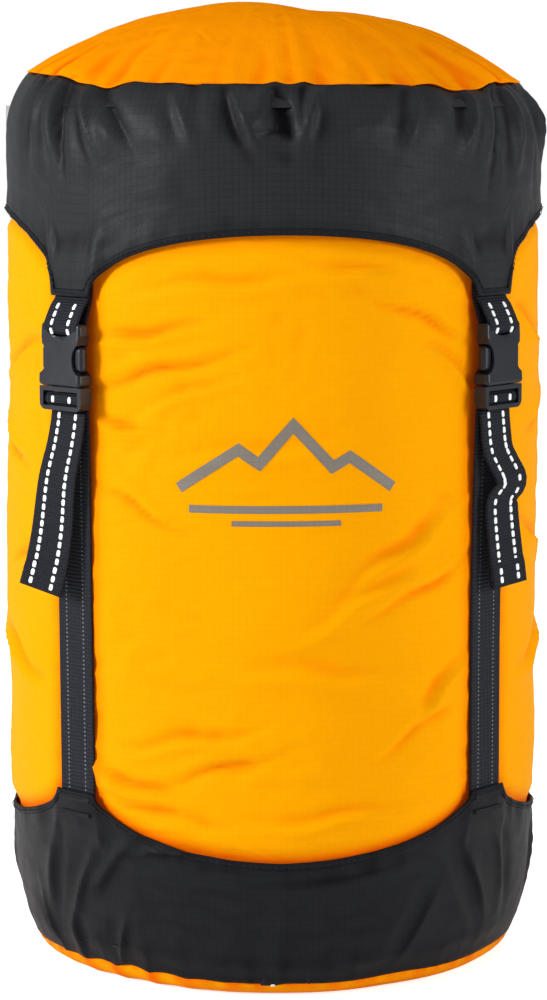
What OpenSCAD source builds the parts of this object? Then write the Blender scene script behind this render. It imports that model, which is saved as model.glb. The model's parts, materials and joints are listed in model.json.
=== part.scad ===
/* [Sack] */
// Outside diameter of the stuffed cloth tube
sack_d = 215; // [180:1:260]
// Height of the closed sack, from the floor to the top of the lid
sack_h = 394; // [350:1:520]
// Thickness that one layer of sack cloth is given
cloth_t = 1.4; // [1:0.1:2]
// Thickness that the doubled cloth of the two dark skirts is given
skirt_t = 1.8; // [1.8:0.1:2.4]
// How far the lid and base seams lie inside the tube's outside
seam_inset = 7.5; // [4:0.5:9]
// Height over which the tube and the skirts draw in to a seam
draw_in_h = 22; // [14:1:28]

/* [Base] */
// Thickness of the base disc, cloth and stiffener together
base_t = 3; // [2.6:0.1:4]
// Height of the rounded rim, from the floor to the base seam
rim_h = 9; // [7:0.5:12]
// How far the flat of the base lies inside the base seam
rim_w = 13; // [10:0.5:18]
// Height of the base skirt above its seam at the front and back scallops
base_scallop_h = 47; // [38:1:55]
// Height of the base skirt above its seam at the two side scallops
base_side_h = 51; // [40:1:58]
// Height of the base skirt's four tabs above its seam
base_tab_h = 70; // [64:1:80]

/* [Lid] */
// Height of the lid's domed top above the lid seam
crown_h = 34; // [28:1:45]
// Depth of the lid skirt below the lid seam at the front and back scallops
lid_scallop_h = 56; // [48:1:62]
// Depth of the lid skirt below the lid seam at the two side scallops
lid_side_h = 50; // [42:1:60]
// Depth of the lid skirt's four tabs below the lid seam
lid_tab_h = 82; // [76:1:90]
// Width of a skirt tab
tab_w = 28; // [26:0.5:34]
// Radius of the scallops' rounded corners
scallop_r = 28; // [20:1:32]
// Width of the binding tape along the skirts' edges
tape_w = 10; // [6:0.5:12]
// Thickness of the binding tape
tape_t = 1; // [0.6:0.1:1.4]
// Gap between the sack and the lid skirt that slips over it
lid_gap = 0.4; // [0.3:0.1:1]
// Length of the care label that stands out of the lid skirt
label_l = 9; // [5:0.5:14]

/* [Webbing] */
// Width of the webbing
webbing_w = 20; // [18:0.5:22]
// Thickness of the webbing
webbing_t = 1.2; // [0.9:0.1:1.3]
// Angle of the front straps from the middle of the front
strap_angle = 49; // [44:1:54]
// How far the webbing runs in under a tab
anchor_l = 12; // [8:1:16]
// Webbing that shows between a lid tab and its buckle
loop_drop = 10; // [8:0.5:16]
// Length of a strap's loose tail below its buckle
tail_l = 74; // [50:1:80]
// Length of the folded hem at the end of a tail
tail_hem_l = 9; // [6:1:14]

/* [Buckle] */
// Length of a closed buckle
buckle_l = 35; // [34:0.5:40]
// Wall of plastic beside the webbing
rail_w = 2.2; // [1.8:0.1:3]
// Thickness of the female half
female_t = 7.6; // [7:0.1:9]
// Thickness of the male half's strap frame
frame_t = 5.6; // [5.6:0.1:6.6]
// Thickness of the walls over and under the arms
plate_t = 1.6; // [1.2:0.1:1.8]
// Distance of the buckle's middle plane from the sack's cloth
buckle_off = 6.5; // [6.3:0.1:9]

/* [Mouth] */
// Inside radius of the gathered mouth
mouth_r = 25; // [20:1:32]
// Distance of the tube's top edge below the lid seam
tube_drop = 24; // [20:1:28]
// Rise of the gathered collar from the tube to the neck
collar_rise = 14; // [10:1:18]
// Height of the neck above the collar
neck_h = 20; // [16:1:22]
// Diameter of the drawcord
cord_d = 3; // [2:0.5:3.5]
// Outside diameter of the cord lock's barrel
lock_d = 14; // [13:0.5:16]
// Length of the cord lock's barrel
lock_l = 20; // [19:0.5:23]
// Travel of the cord lock's button
plunger_travel = 3; // [2:0.5:3.5]
// Free run of the cord between the cord lock and the knot
lock_run = 20; // [14:1:24]

/* [Hidden] */
$fn = 96;

orange = [0.96, 0.68, 0.06];
charcoal = [0.19, 0.2, 0.22];
webbing_black = [0.09, 0.1, 0.12];
plastic_grey = [0.17, 0.18, 0.19];
steel = [0.7, 0.71, 0.73];
cord_grey = [0.3, 0.31, 0.33];
label_white = [0.85, 0.86, 0.86];

// Where the four straps stand, as angles from the middle of the front
FL = -strap_angle;
FR = strap_angle;
BR = 180 - strap_angle;
BL = strap_angle - 180;
STRAPS = [FL, FR, BR, BL];

// Where the label stands, as an angle from the middle of the front, and its thickness
label_angle = -92;
label_t = 0.6;

// Small clearances: between sewn layers, between pieces that move, and past a cut face
lay = 0.1;
clear = 0.3;
past = 1;

// Rows of dense stitches: height and thickness of a row, and the distance between two rows
bartack_h = 1.6;
bartack_t = 0.5;
bartack_pitch = 6;

// Radii and heights that the sizes above settle
sack_r = sack_d / 2;
seam_r = sack_r - seam_inset;
lid_seam_z = sack_h - crown_h;
tube_top_z = lid_seam_z - tube_drop;
base_tab_z = rim_h + base_tab_h;
lid_tab_z = lid_seam_z - lid_tab_h;
base_skirt_r = sack_r + lay + skirt_t;
lid_skirt_r = sack_r + lid_gap + skirt_t;
base_strap_r = sack_r + 2 * lay + webbing_t / 2;
lid_strap_r = sack_r + lid_gap + lay + webbing_t / 2;
base_tape_r = lay + max(base_skirt_r, norm([base_strap_r + webbing_t / 2, webbing_w / 2]));
lid_tape_r = lay + max(lid_skirt_r, norm([lid_strap_r + webbing_t / 2, webbing_w / 2]));
buckle_r = sack_r + buckle_off;
buckle_z = lid_tab_z - loop_drop - buckle_l;

// Exponent of the dome's profile
dome_power = 2.6;

// Levels along a buckle, from its lower end
end_bar_h = 1.8;
ladder_gap = webbing_t + clear + 0.4;
mid_bar_h = 1.8;
upper_gap = webbing_t + clear + 0.6;
mid_bar_z = end_bar_h + ladder_gap;
cross_bar_z = mid_bar_z + mid_bar_h + upper_gap;
cross_bar_h = 1.8;
male_l = cross_bar_z + cross_bar_h;
mouth_z = male_l + clear;
band_h = 3.3;
window_z = mouth_z + band_h;
window_h = 10;
body_top_z = buckle_l - 5.5;
smile_r = 22;
smile_depth = 2.6;
horn_root_z = body_top_z - 4;
loop_bar_r = 1.3;
loop_bar_z = buckle_l - 2 * loop_bar_r;
slot_w = webbing_w + 0.6;
buckle_w = slot_w + 2 * rail_w;
cavity_w = slot_w + 0.6;
cavity_t = female_t - 2 * plate_t;
waist_w = buckle_w - 6.2;

// Depths across a buckle, from its middle plane, outward positive
strap_v = -frame_t / 2 - clear / 3 - webbing_t / 2;
tail_v = strap_v + webbing_t + 0.5;
end_bar_v = tail_v + webbing_t / 2 + clear;
mid_bar_back_v = strap_v + webbing_t / 2 + clear;
wrap_front_v = frame_t / 2 - 0.4 - webbing_t / 2;
mid_bar_front_v = wrap_front_v - webbing_t / 2 - clear;

// Arms of the male half
arm_t = cavity_t - 2 * clear;
arm_pivot_u = 7.2;
arm_pivot_z = male_l - 0.8;
arm_root_r = 0.8;
arm_w = 2.4;
arm_tip_z = window_z + window_h - 1.1;
pad_reach_u = buckle_w / 2 - 0.1;
pad_h = 8;
tongue_w = 5.2;
tongue_t = 2.8;
tongue_tip_z = window_z + window_h - 2;

// Tube top, neck, channel and cord
tube_top_inset = 3.5;
tube_top_h = 12;
neck_z = tube_top_z + collar_rise;
neck_r = mouth_r + cloth_t;
channel_wall = 0.6;
cord_room = 0.4;
channel_r = neck_r + lay + 2 * channel_wall + cord_d + cord_room;
channel_h = cord_d + cord_room + 2 * channel_wall;
cord_z = neck_z + 10;
cord_ring_r = channel_r - channel_wall - cord_room / 2 - cord_d / 2;
cord_pitch = cord_d + 1.4;
lock_y = -(channel_r + 1.5 + lock_d / 2);
knot_r = (cord_pitch + cord_d) / 2 + 0.6;
knot_y = lock_y - lock_d / 2 - lock_run - knot_r - 1;
bore_r = lock_d / 2 - 2.2;
plunger_r = bore_r - lay;
cord_hole_half_w = (cord_pitch + cord_d + cord_room) / 2;
lock_front_x = cord_hole_half_w + 3;
lock_back_x = lock_front_x - lock_l;
bore_back_x = lock_back_x + 1.6;
plunger_back_x = -cord_hole_half_w - 1.2;
button_x = lock_front_x + plunger_travel + clear;
button_h = 3;
spring_r = bore_r - 1.2;
wire_r = 0.35;
spring_turns = 3;
spring_l = plunger_back_x - bore_back_x - 2 * (wire_r + lay);

// Points of a polyline moved sideways by d, with mitred corners
function leg_normal(path, i) = let (d = path[i + 1] - path[i]) [-d[1], d[0]] / norm(d);
function corner_normal(path, i) =
    let (a = leg_normal(path, max(i - 1, 0)), b = leg_normal(path, min(i, len(path) - 2)))
    (a + b) / (1 + a * b);
function beside(path, d) = [for (i = [0 : len(path) - 1]) path[i] + d * corner_normal(path, i)];
function backward(list) = [for (i = [len(list) - 1 : -1 : 0]) list[i]];

// Closed outline of a strip of thickness t along a polyline
function strip(path, t) = concat(beside(path, t / 2), backward(beside(path, -t / 2)));

// Points on an arc of an ellipse
function arc(centre, a, b, from, to, steps) =
    [for (i = [0 : steps]) let (w = from + (to - from) * i / steps) centre + [a * cos(w), b * sin(w)]];

// Closed outline of a wall of thickness t that stands inside a profile of radii and heights
function wall_inside(profile, t) = concat(profile, backward([for (p = profile) p - [t, 0]]));

// Profile of the tube or a skirt above the base seam, drawn in towards it
function base_profile(r, top_z) =
    [[r - seam_inset, rim_h], [r - seam_inset * 0.3, rim_h + draw_in_h * 0.35], [r, rim_h + draw_in_h],
     [r, top_z]];

// Profile of the lid skirt, drawn in towards the lid seam
function lid_profile(r) =
    [[r, lid_tab_z], [r, lid_seam_z - draw_in_h], [r - seam_inset * 0.3, lid_seam_z - draw_in_h * 0.35],
     [seam_r, lid_seam_z]];

// Turns its children to a strap's place: x along the sack's surface, y outward, z up
module at_strap(angle) {
    rotate([0, 0, angle + 180]) children();
}

// Extrudes an outline drawn in outward distance and height across the webbing's width
module across(w) {
    rotate([90, 0, 90]) linear_extrude(height = w, center = true) children();
}

// Extrudes an outline drawn in width and height through a buckle's thickness
module plate(t) {
    rotate([90, 0, 0]) linear_extrude(height = t, center = true) children();
}

module rounded(w, h, r) {
    translate([-w / 2 + r, 0]) square([w - 2 * r, h]);
    translate([-w / 2, r]) square([w, h - 2 * r]);
    for (x = [-1, 1], z = [r, h - r]) translate([x * (w / 2 - r), z]) circle(r = r);
}

// Outline cut out of a skirt between two tabs, open towards negative y, its rounded end at y = 0
module scallop(half_w, depth, grow) {
    r = scallop_r + grow;
    w = half_w + grow;
    translate([-w, -depth]) square([2 * w, depth + grow - r]);
    translate([-w + r, grow - r - past]) square([2 * (w - r), r + past]);
    for (x = [-1, 1]) translate([x * (w - r), grow - r]) circle(r = r);
}

// The four scallops of a skirt with its tabs' ends at tab_z; up is 1 for a lid skirt and -1 for a base skirt
module scallops(front_z, side_z, tab_z, up, grow) {
    tab_half_angle = asin(tab_w / 2 / sack_r);
    for (quarter = [0 : 3]) {
        edge_z = quarter % 2 == 0 ? front_z : side_z;
        reach = quarter % 2 == 0 ? strap_angle : 90 - strap_angle;
        half_w = sack_r * sin(reach - tab_half_angle);
        depth = abs(edge_z - tab_z) + scallop_r + 4 * past;
        rotate([0, 0, 90 * quarter])
            translate([0, -sack_r * 0.4, edge_z])
                rotate([90, 0, 0])
                    linear_extrude(height = sack_r)
                        flipped(up) scallop(half_w, depth, grow);
    }
}

// Turns an outline over when up is -1
module flipped(up) {
    if (up > 0) children();
    else mirror([0, 1]) children();
}

// Openings in a skirt that let the webbing in under its four tabs, from z = low to z = high
module webbing_slots(r, low, high) {
    for (angle = STRAPS)
        at_strap(angle)
            translate([-slot_w / 2, r - skirt_t - past, low])
                cube([slot_w, skirt_t + 2 * past, high - low]);
}

// Ring of binding tape with inside radius r, before the scallops are cut
module tape_ring(r, low, high) {
    translate([0, 0, low])
        difference() {
            cylinder(r = r + tape_t, h = high - low);
            translate([0, 0, -past]) cylinder(r = r, h = high - low + 2 * past);
        }
}

// Two rows of dense stitches across each of the four tabs, on tape with inside radius r
module tab_bartacks(r, middle_z) {
    for (angle = STRAPS, row = [-1, 1])
        at_strap(angle)
            translate([0, r + tape_t + lay + bartack_t / 2, middle_z + row * bartack_pitch / 2])
                cube([webbing_w - 2, bartack_t, bartack_h], center = true);
}

// Base disc

// Line of the handle's middle layer, from the middle of the base out to the seam
handle_path = let (r = seam_r - cloth_t) [[0, webbing_t / 2], [r - rim_w, webbing_t / 2],
    [r - rim_w * 0.35, rim_h * 0.3 + webbing_t / 2], [r - 0.6, rim_h - 0.4]];
handle_slot_t = webbing_t + 2 * lay;

module base_disc() {
    rim = [[0, 0], [seam_r - rim_w, 0], [seam_r - rim_w * 0.35, rim_h * 0.3], [seam_r, rim_h]];
    color(orange)
        difference() {
            rotate_extrude() polygon(concat(rim, [[seam_r - base_t, rim_h],
                [seam_r - rim_w * 0.35 - base_t, rim_h * 0.3 + base_t], [seam_r - rim_w - base_t, base_t],
                [0, base_t]]));
            for (turn = [0, 180])
                rotate([0, 0, turn])
                    across(webbing_w + 2 * lay)
                        polygon(concat(beside(handle_path, webbing_t / 2 + lay),
                            [[seam_r + past, rim_h + past], [seam_r + past, -past], [0, -past]]));
        }
}

module grab_handle() {
    color(webbing_black)
        for (turn = [0, 180])
            rotate([0, 0, turn]) across(webbing_w) polygon(strip(handle_path, webbing_t));
}

module handle_bartacks() {
    slope = handle_path[3] - handle_path[2];
    color(webbing_black)
        for (turn = [0, 180])
            rotate([0, 0, turn])
                across(webbing_w - 3)
                    translate(handle_path[2] + slope * 0.5)
                        rotate(atan2(slope[1], slope[0]))
                            translate([-1, -webbing_t / 2 - lay - 0.4]) square([2, 0.4]);
}

module base_skirt() {
    color(charcoal)
        difference() {
            rotate_extrude() polygon(wall_inside(base_profile(base_skirt_r, base_tab_z), skirt_t));
            scallops(rim_h + base_scallop_h, rim_h + base_side_h, base_tab_z, -1, 0);
            webbing_slots(base_skirt_r, base_tab_z - anchor_l, base_tab_z + past);
        }
}

module base_seam_tape() {
    inside = cloth_t + lay;
    profile = [[seam_r - inside, rim_h + lay],
        [sack_r - seam_inset * 0.3 - inside, rim_h + draw_in_h * 0.35]];
    color(charcoal) rotate_extrude() polygon(wall_inside(profile, tape_t));
}

module base_hem_tape() {
    low = rim_h + draw_in_h;
    color(webbing_black)
        difference() {
            intersection() {
                tape_ring(base_tape_r, low, base_tab_z);
                scallops(rim_h + base_scallop_h, rim_h + base_side_h, base_tab_z, -1, tape_w);
            }
            scallops(rim_h + base_scallop_h, rim_h + base_side_h, base_tab_z, -1, 0);
        }
}

module base_tab_bartacks() {
    color(webbing_black) tab_bartacks(base_tape_r, base_tab_z - anchor_l / 2);
}

// Tube and straps

module sack_tube() {
    outer = concat(base_profile(sack_r, tube_top_z - tube_top_h), [[sack_r - tube_top_inset, tube_top_z]]);
    color(orange) rotate_extrude() polygon(wall_inside(outer, cloth_t));
}

// A load strap runs from under its base tab up to the foot of its buckle
module load_strap(angle) {
    path = [[base_strap_r, base_tab_z - anchor_l + lay], [base_strap_r, base_tab_z + 4 * past],
        [buckle_r + strap_v, buckle_z - 8], [buckle_r + strap_v, buckle_z - lay]];
    color(webbing_black) at_strap(angle) across(webbing_w) polygon(strip(path, webbing_t));
}

// Where the webbing passes up behind the bars, over the middle bar and down behind the end bar
module strap_wrap(angle) {
    over_z = mid_bar_z + mid_bar_h + clear + webbing_t / 2;
    under_z = mid_bar_z - clear - webbing_t / 2;
    path = [[strap_v, 0], [strap_v, over_z], [wrap_front_v, over_z], [wrap_front_v, under_z],
        [tail_v, under_z], [tail_v, 0]];
    color(webbing_black)
        at_strap(angle) translate([0, buckle_r, buckle_z]) across(webbing_w) polygon(strip(path, webbing_t));
}

// The tail hangs from a round end just under the buckle's end bar
module tail(angle) {
    color(webbing_black)
        at_strap(angle)
            translate([0, buckle_r + tail_v, buckle_z - webbing_t / 2 - lay]) {
                across(webbing_w) circle(d = webbing_t);
                translate([-webbing_w / 2, -webbing_t / 2, -tail_l]) cube([webbing_w, webbing_t, tail_l]);
                translate([-webbing_w / 2, 0, -tail_l]) cube([webbing_w, webbing_t * 1.5, tail_hem_l]);
            }
}

// Mouth

// Gathered shoulder, from the tube's top in to the neck
module mouth_collar() {
    foot = [sack_r - tube_top_inset - cloth_t / 2, tube_top_z + clear + cloth_t / 2];
    path = [foot, [foot[0] * 0.86, foot[1] + collar_rise * 0.4], [foot[0] * 0.5, neck_z - 2.5],
        [neck_r + lay + cloth_t, neck_z - 1]];
    color(orange) rotate_extrude() polygon(strip(path, cloth_t));
}

// Neck that the drawcord closes
module mouth_neck() {
    color(orange)
        translate([0, 0, neck_z - 2])
            difference() {
                cylinder(r = neck_r, h = neck_h + 2);
                translate([0, 0, -past]) cylinder(r = mouth_r, h = neck_h + 2 + 2 * past);
            }
}

module drawcord_channel() {
    inner_r = neck_r + lay;
    low = cord_z - channel_h / 2;
    color(charcoal)
        difference() {
            rotate_extrude()
                difference() {
                    translate([inner_r, low]) square([channel_r - inner_r, channel_h]);
                    translate([inner_r + channel_wall, low + channel_wall])
                        square([channel_r - inner_r - 2 * channel_wall, channel_h - 2 * channel_wall]);
                }
            for (x = [-1, 1])
                translate([x * cord_pitch / 2, 0, cord_z])
                    rotate([90, 0, 0]) cylinder(d = cord_d + cord_room, h = channel_r + past);
        }
}

// Cord round the neck, a little fuller inside its channel, and its two ends down to the knot
module drawcord() {
    start = sqrt(pow(cord_ring_r, 2) - pow(cord_pitch / 2, 2));
    color(cord_grey) {
        translate([0, 0, cord_z]) rotate_extrude() translate([cord_ring_r, 0]) circle(d = cord_d + lay);
        for (x = [-1, 1])
            translate([x * cord_pitch / 2, 0, cord_z])
                rotate([90, 0, 0]) translate([0, 0, start]) cylinder(d = cord_d, h = -knot_y - start);
        translate([0, knot_y, cord_z]) sphere(r = knot_r);
    }
}

// Turns its children so that z runs along the cord lock's button, which is the sack's x
module at_lock() {
    translate([0, lock_y, cord_z]) rotate([0, 90, 0]) children();
}

module cord_lock_barrel() {
    color(plastic_grey)
        difference() {
            at_lock()
                difference() {
                    translate([0, 0, lock_back_x]) cylinder(d = lock_d, h = lock_l);
                    translate([0, 0, bore_back_x]) cylinder(r = bore_r, h = lock_l + past);
                }
            for (x = [-1, 1])
                translate([x * cord_pitch / 2, lock_y + lock_d / 2 + past, cord_z])
                    rotate([90, 0, 0]) cylinder(d = cord_d + cord_room, h = lock_d + 2 * past);
        }
}

module cord_lock_plunger() {
    color(plastic_grey)
        difference() {
            at_lock() {
                translate([0, 0, plunger_back_x])
                    cylinder(r = plunger_r, h = button_x + past - plunger_back_x);
                translate([0, 0, button_x]) cylinder(d = lock_d - 1.5, h = button_h);
            }
            translate([-cord_hole_half_w, lock_y - lock_d / 2, cord_z - cord_d / 2 - cord_room / 2])
                cube([2 * cord_hole_half_w + plunger_travel, lock_d, cord_d + cord_room]);
        }
}

// Compression spring as one swept tube, between the barrel's closed end and the plunger
module cord_lock_spring() {
    rings = spring_turns * 14;
    sides = 8;
    low = bore_back_x + wire_r + lay;
    points = [for (i = [0 : rings], j = [0 : sides - 1])
        let (turn = 360 * spring_turns * i / rings, w = 360 * j / sides, r = spring_r + wire_r * cos(w))
        [r * cos(turn), r * sin(turn), low + spring_l * i / rings + wire_r * sin(w)]];
    skin = [for (i = [0 : rings - 1], j = [0 : sides - 1])
        let (k = (j + 1) % sides) [i * sides + j, i * sides + k, (i + 1) * sides + k, (i + 1) * sides + j]];
    ends = [backward([for (j = [0 : sides - 1]) j]), [for (j = [0 : sides - 1]) rings * sides + j]];
    color(steel) at_lock() polyhedron(points, concat(skin, ends), convexity = 8);
}

// Lid

// Points up the dome's profile from its rim to its top; it rises steadily and is flat in the middle
function dome(r, h) =
    [for (i = [0 : 14]) let (w = 90 * i / 14) [r * cos(w), lid_seam_z + h * (1 - pow(cos(w), dome_power))]];

module lid_panel() {
    outer = dome(seam_r, crown_h);
    inner = dome(seam_r - cloth_t, crown_h - cloth_t);
    color(orange) rotate_extrude() polygon(concat(outer, backward(inner)));
}

module lid_skirt() {
    color(charcoal)
        difference() {
            rotate_extrude() polygon(wall_inside(lid_profile(lid_skirt_r), skirt_t));
            scallops(lid_seam_z - lid_scallop_h, lid_seam_z - lid_side_h, lid_tab_z, 1, 0);
            webbing_slots(lid_skirt_r, lid_tab_z - past, lid_tab_z + anchor_l);
        }
}

module lid_seam_tape() {
    top = [seam_r - skirt_t - lay, lid_seam_z - lay];
    foot = [lid_skirt_r - seam_inset * 0.3 - skirt_t - lay, lid_seam_z - draw_in_h * 0.35];
    color(charcoal) rotate_extrude() polygon(wall_inside([foot, top], tape_t));
}

module lid_hem_tape() {
    high = lid_seam_z - draw_in_h;
    color(webbing_black)
        difference() {
            intersection() {
                tape_ring(lid_tape_r, lid_tab_z, high);
                scallops(lid_seam_z - lid_scallop_h, lid_seam_z - lid_side_h, lid_tab_z, 1, tape_w);
            }
            scallops(lid_seam_z - lid_scallop_h, lid_seam_z - lid_side_h, lid_tab_z, 1, 0);
        }
}

module lid_tab_bartacks() {
    color(webbing_black) tab_bartacks(lid_tape_r, lid_tab_z + anchor_l / 2);
}

// The label stands out of the skirt at the left side, a little below the seam
module care_label() {
    color(label_white)
        at_strap(label_angle)
            translate([-label_t / 2, lid_skirt_r - 0.4, lid_seam_z - draw_in_h * 0.35 - label_l])
                cube([label_t, 0.4 + lay + tape_t, label_l]);
}

// Webbing from under a lid tab, down round the buckle's bar and up again to the tab's edge
module upper_loop(angle) {
    turn_r = loop_bar_r + clear + webbing_t / 2;
    bar = [buckle_r, buckle_z + loop_bar_z];
    path = concat([[lid_strap_r, lid_tab_z + anchor_l - lay], [lid_strap_r, lid_tab_z - lay]],
        arc(bar, turn_r, turn_r, 160, 380, 10),
        [[lid_strap_r + webbing_t + 3 * lay + loop_drop * 0.15, lid_tab_z - 2]]);
    color(webbing_black) at_strap(angle) across(webbing_w) polygon(strip(path, webbing_t));
}

// Buckles

module female(angle) {
    color(plastic_grey)
        at_strap(angle)
            translate([0, buckle_r, buckle_z]) {
                difference() {
                    plate(female_t)
                        difference() {
                            union() {
                                difference() {
                                    translate([0, mouth_z]) rounded(buckle_w, body_top_z - mouth_z, 1.6);
                                    translate([0, body_top_z - smile_depth + smile_r]) circle(r = smile_r);
                                }
                                for (x = [-1, 1])
                                    translate([x * (buckle_w - rail_w) / 2, horn_root_z])
                                        rounded(rail_w, buckle_l - horn_root_z, rail_w / 2 - 0.05);
                            }
                            for (x = [-1, 1])
                                translate([x * (waist_w + buckle_w) / 2, window_z])
                                    rounded(buckle_w, window_h, 1.4);
                        }
                    translate([-cavity_w / 2, -cavity_t / 2, mouth_z - past])
                        cube([cavity_w, cavity_t, window_z + window_h + 0.4 - mouth_z + past]);
                    for (y = [-1, 1])
                        translate([0, y * (female_t / 2 + 1.2), body_top_z + 3])
                            cube([buckle_w + 2 * past, 4.8, 7], center = true);
                }
                translate([0, 0, loop_bar_z])
                    rotate([0, 90, 0]) cylinder(r = loop_bar_r, h = buckle_w - rail_w, center = true);
            }
}

module male_frame(angle) {
    half = frame_t / 2 + past;
    color(plastic_grey)
        at_strap(angle)
            translate([0, buckle_r, buckle_z]) {
                difference() {
                    plate(frame_t) rounded(buckle_w, male_l, 1.6);
                    for (low_h = [[end_bar_h, ladder_gap], [cross_bar_z - upper_gap, upper_gap]])
                        translate([-slot_w / 2, -half, low_h[0]]) cube([slot_w, 2 * half, low_h[1]]);
                    translate([-slot_w / 2, -half, -past])
                        cube([slot_w, half + end_bar_v, end_bar_h + 2 * past]);
                    translate([-slot_w / 2, -half, mid_bar_z - past])
                        cube([slot_w, half + mid_bar_back_v, mid_bar_h + 2 * past]);
                    translate([-slot_w / 2, mid_bar_front_v, mid_bar_z - past])
                        cube([slot_w, half, mid_bar_h + 2 * past]);
                    for (x = [-1, 1])
                        translate([x * arm_pivot_u, 0, arm_pivot_z]) {
                            rotate([90, 0, 0]) cylinder(r = arm_root_r + 0.1, h = 2 * half, center = true);
                            translate([-arm_w / 2 - 0.4, -half, 0]) cube([arm_w + 0.8, 2 * half, male_l]);
                        }
                }
                translate([-tongue_w / 2, -tongue_t / 2, male_l - past])
                    cube([tongue_w, tongue_t, tongue_tip_z - male_l + past]);
            }
}

// One of the two arms that the fingers pinch; side is 1 on the left, seen from outside, and -1 on the right
module arm(angle, side) {
    pad_w = pad_reach_u - arm_pivot_u;
    color(plastic_grey)
        at_strap(angle)
            translate([0, buckle_r, buckle_z])
                plate(arm_t) {
                    translate([side * arm_pivot_u, arm_pivot_z]) circle(r = arm_root_r);
                    translate([side * arm_pivot_u - arm_root_r, arm_pivot_z])
                        square([2 * arm_root_r, window_z + clear - arm_pivot_z + past]);
                    translate([side * arm_pivot_u, window_z + clear])
                        rounded(arm_w, arm_tip_z - window_z - clear, 1);
                    translate([side * (arm_pivot_u + pad_w / 2), window_z + clear])
                        rounded(pad_w, pad_h, 1.4);
                }
}

base_disc();
base_skirt();
base_seam_tape();
base_hem_tape();
grab_handle();
handle_bartacks();
sack_tube();
load_strap(FL);  // load_strap_fl
load_strap(FR);  // load_strap_fr
load_strap(BR);  // load_strap_br
load_strap(BL);  // load_strap_bl
base_tab_bartacks();
mouth_collar();
mouth_neck();
drawcord_channel();
drawcord();
cord_lock_barrel();
cord_lock_plunger();
cord_lock_spring();
lid_panel();
lid_skirt();
lid_seam_tape();
lid_hem_tape();
lid_tab_bartacks();
care_label();
upper_loop(FL);  // upper_loop_fl
upper_loop(FR);  // upper_loop_fr
upper_loop(BR);  // upper_loop_br
upper_loop(BL);  // upper_loop_bl
female(FL);  // female_fl
female(FR);  // female_fr
female(BR);  // female_br
female(BL);  // female_bl
male_frame(FL);  // male_frame_fl
male_frame(FR);  // male_frame_fr
male_frame(BR);  // male_frame_br
male_frame(BL);  // male_frame_bl
strap_wrap(FL);  // strap_wrap_fl
strap_wrap(FR);  // strap_wrap_fr
strap_wrap(BR);  // strap_wrap_br
strap_wrap(BL);  // strap_wrap_bl
arm(FL, 1);  // arm_fl_l
arm(FL, -1);  // arm_fl_r
arm(FR, 1);  // arm_fr_l
arm(FR, -1);  // arm_fr_r
arm(BR, 1);  // arm_br_l
arm(BR, -1);  // arm_br_r
arm(BL, 1);  // arm_bl_l
arm(BL, -1);  // arm_bl_r
tail(FL);  // tail_fl
tail(FR);  // tail_fr
tail(BR);  // tail_br
tail(BL);  // tail_bl
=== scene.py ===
import json
import math

import bmesh
import bpy
import numpy as np
from mathutils import Matrix, Vector, noise
from mathutils.bvhtree import BVHTree


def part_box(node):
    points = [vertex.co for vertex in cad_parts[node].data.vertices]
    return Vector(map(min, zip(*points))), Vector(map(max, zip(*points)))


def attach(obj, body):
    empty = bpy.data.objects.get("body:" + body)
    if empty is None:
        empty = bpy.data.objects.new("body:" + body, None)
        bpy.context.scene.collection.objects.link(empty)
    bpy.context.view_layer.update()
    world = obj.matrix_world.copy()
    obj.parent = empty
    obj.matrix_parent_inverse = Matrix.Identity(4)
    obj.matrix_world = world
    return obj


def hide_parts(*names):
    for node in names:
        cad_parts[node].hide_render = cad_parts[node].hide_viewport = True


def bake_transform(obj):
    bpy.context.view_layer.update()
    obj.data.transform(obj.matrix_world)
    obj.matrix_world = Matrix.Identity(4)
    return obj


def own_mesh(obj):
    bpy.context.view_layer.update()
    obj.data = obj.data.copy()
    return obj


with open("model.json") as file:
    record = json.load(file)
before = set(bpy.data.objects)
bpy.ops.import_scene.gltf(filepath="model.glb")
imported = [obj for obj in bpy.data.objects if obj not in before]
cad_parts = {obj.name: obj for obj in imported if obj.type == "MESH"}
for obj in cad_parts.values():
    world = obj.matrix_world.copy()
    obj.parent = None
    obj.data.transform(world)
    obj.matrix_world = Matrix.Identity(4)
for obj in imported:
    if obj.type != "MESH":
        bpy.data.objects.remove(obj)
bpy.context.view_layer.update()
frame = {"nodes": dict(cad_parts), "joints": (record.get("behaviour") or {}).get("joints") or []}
print("frame loaded")

mm = 0.001
corners = ["fl", "fr", "br", "bl"]


# places read from the frame
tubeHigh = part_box("sack_tube")[1]
lidLow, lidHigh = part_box("lid_panel")
baseSkirtLow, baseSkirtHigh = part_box("base_skirt")
tubeR, tubeTopZ = tubeHigh.x, tubeHigh.z
seamR, lidSeamZ, lidTopZ = lidHigh.x, lidLow.z, lidHigh.z
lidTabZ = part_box("lid_skirt")[0].z
baseSeamZ, baseTabZ = baseSkirtLow.z, baseSkirtHigh.z
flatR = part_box("base_disc")[1].x - 13 * mm      # radius where the base's rim meets its flat underside


def strapPlace(corner):
    # angle of a strap from the middle of the front
    low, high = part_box("male_frame_" + corner)
    middle = (low + high) / 2
    return math.atan2(middle.x, -middle.y)


strapAngle = {corner: strapPlace(corner) for corner in corners}
frontStrap = abs(strapAngle["fr"])
joints = {joint["name"]: joint for joint in frame["joints"]}
buckleR = Vector(joints["pinch_fr"]["pos_m"]).dot(Vector((math.sin(frontStrap), -math.cos(frontStrap), 0)))
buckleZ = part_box("male_frame_fr")[0].z
webbingW = 20 * mm
webbingT = 1.2 * mm

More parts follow.
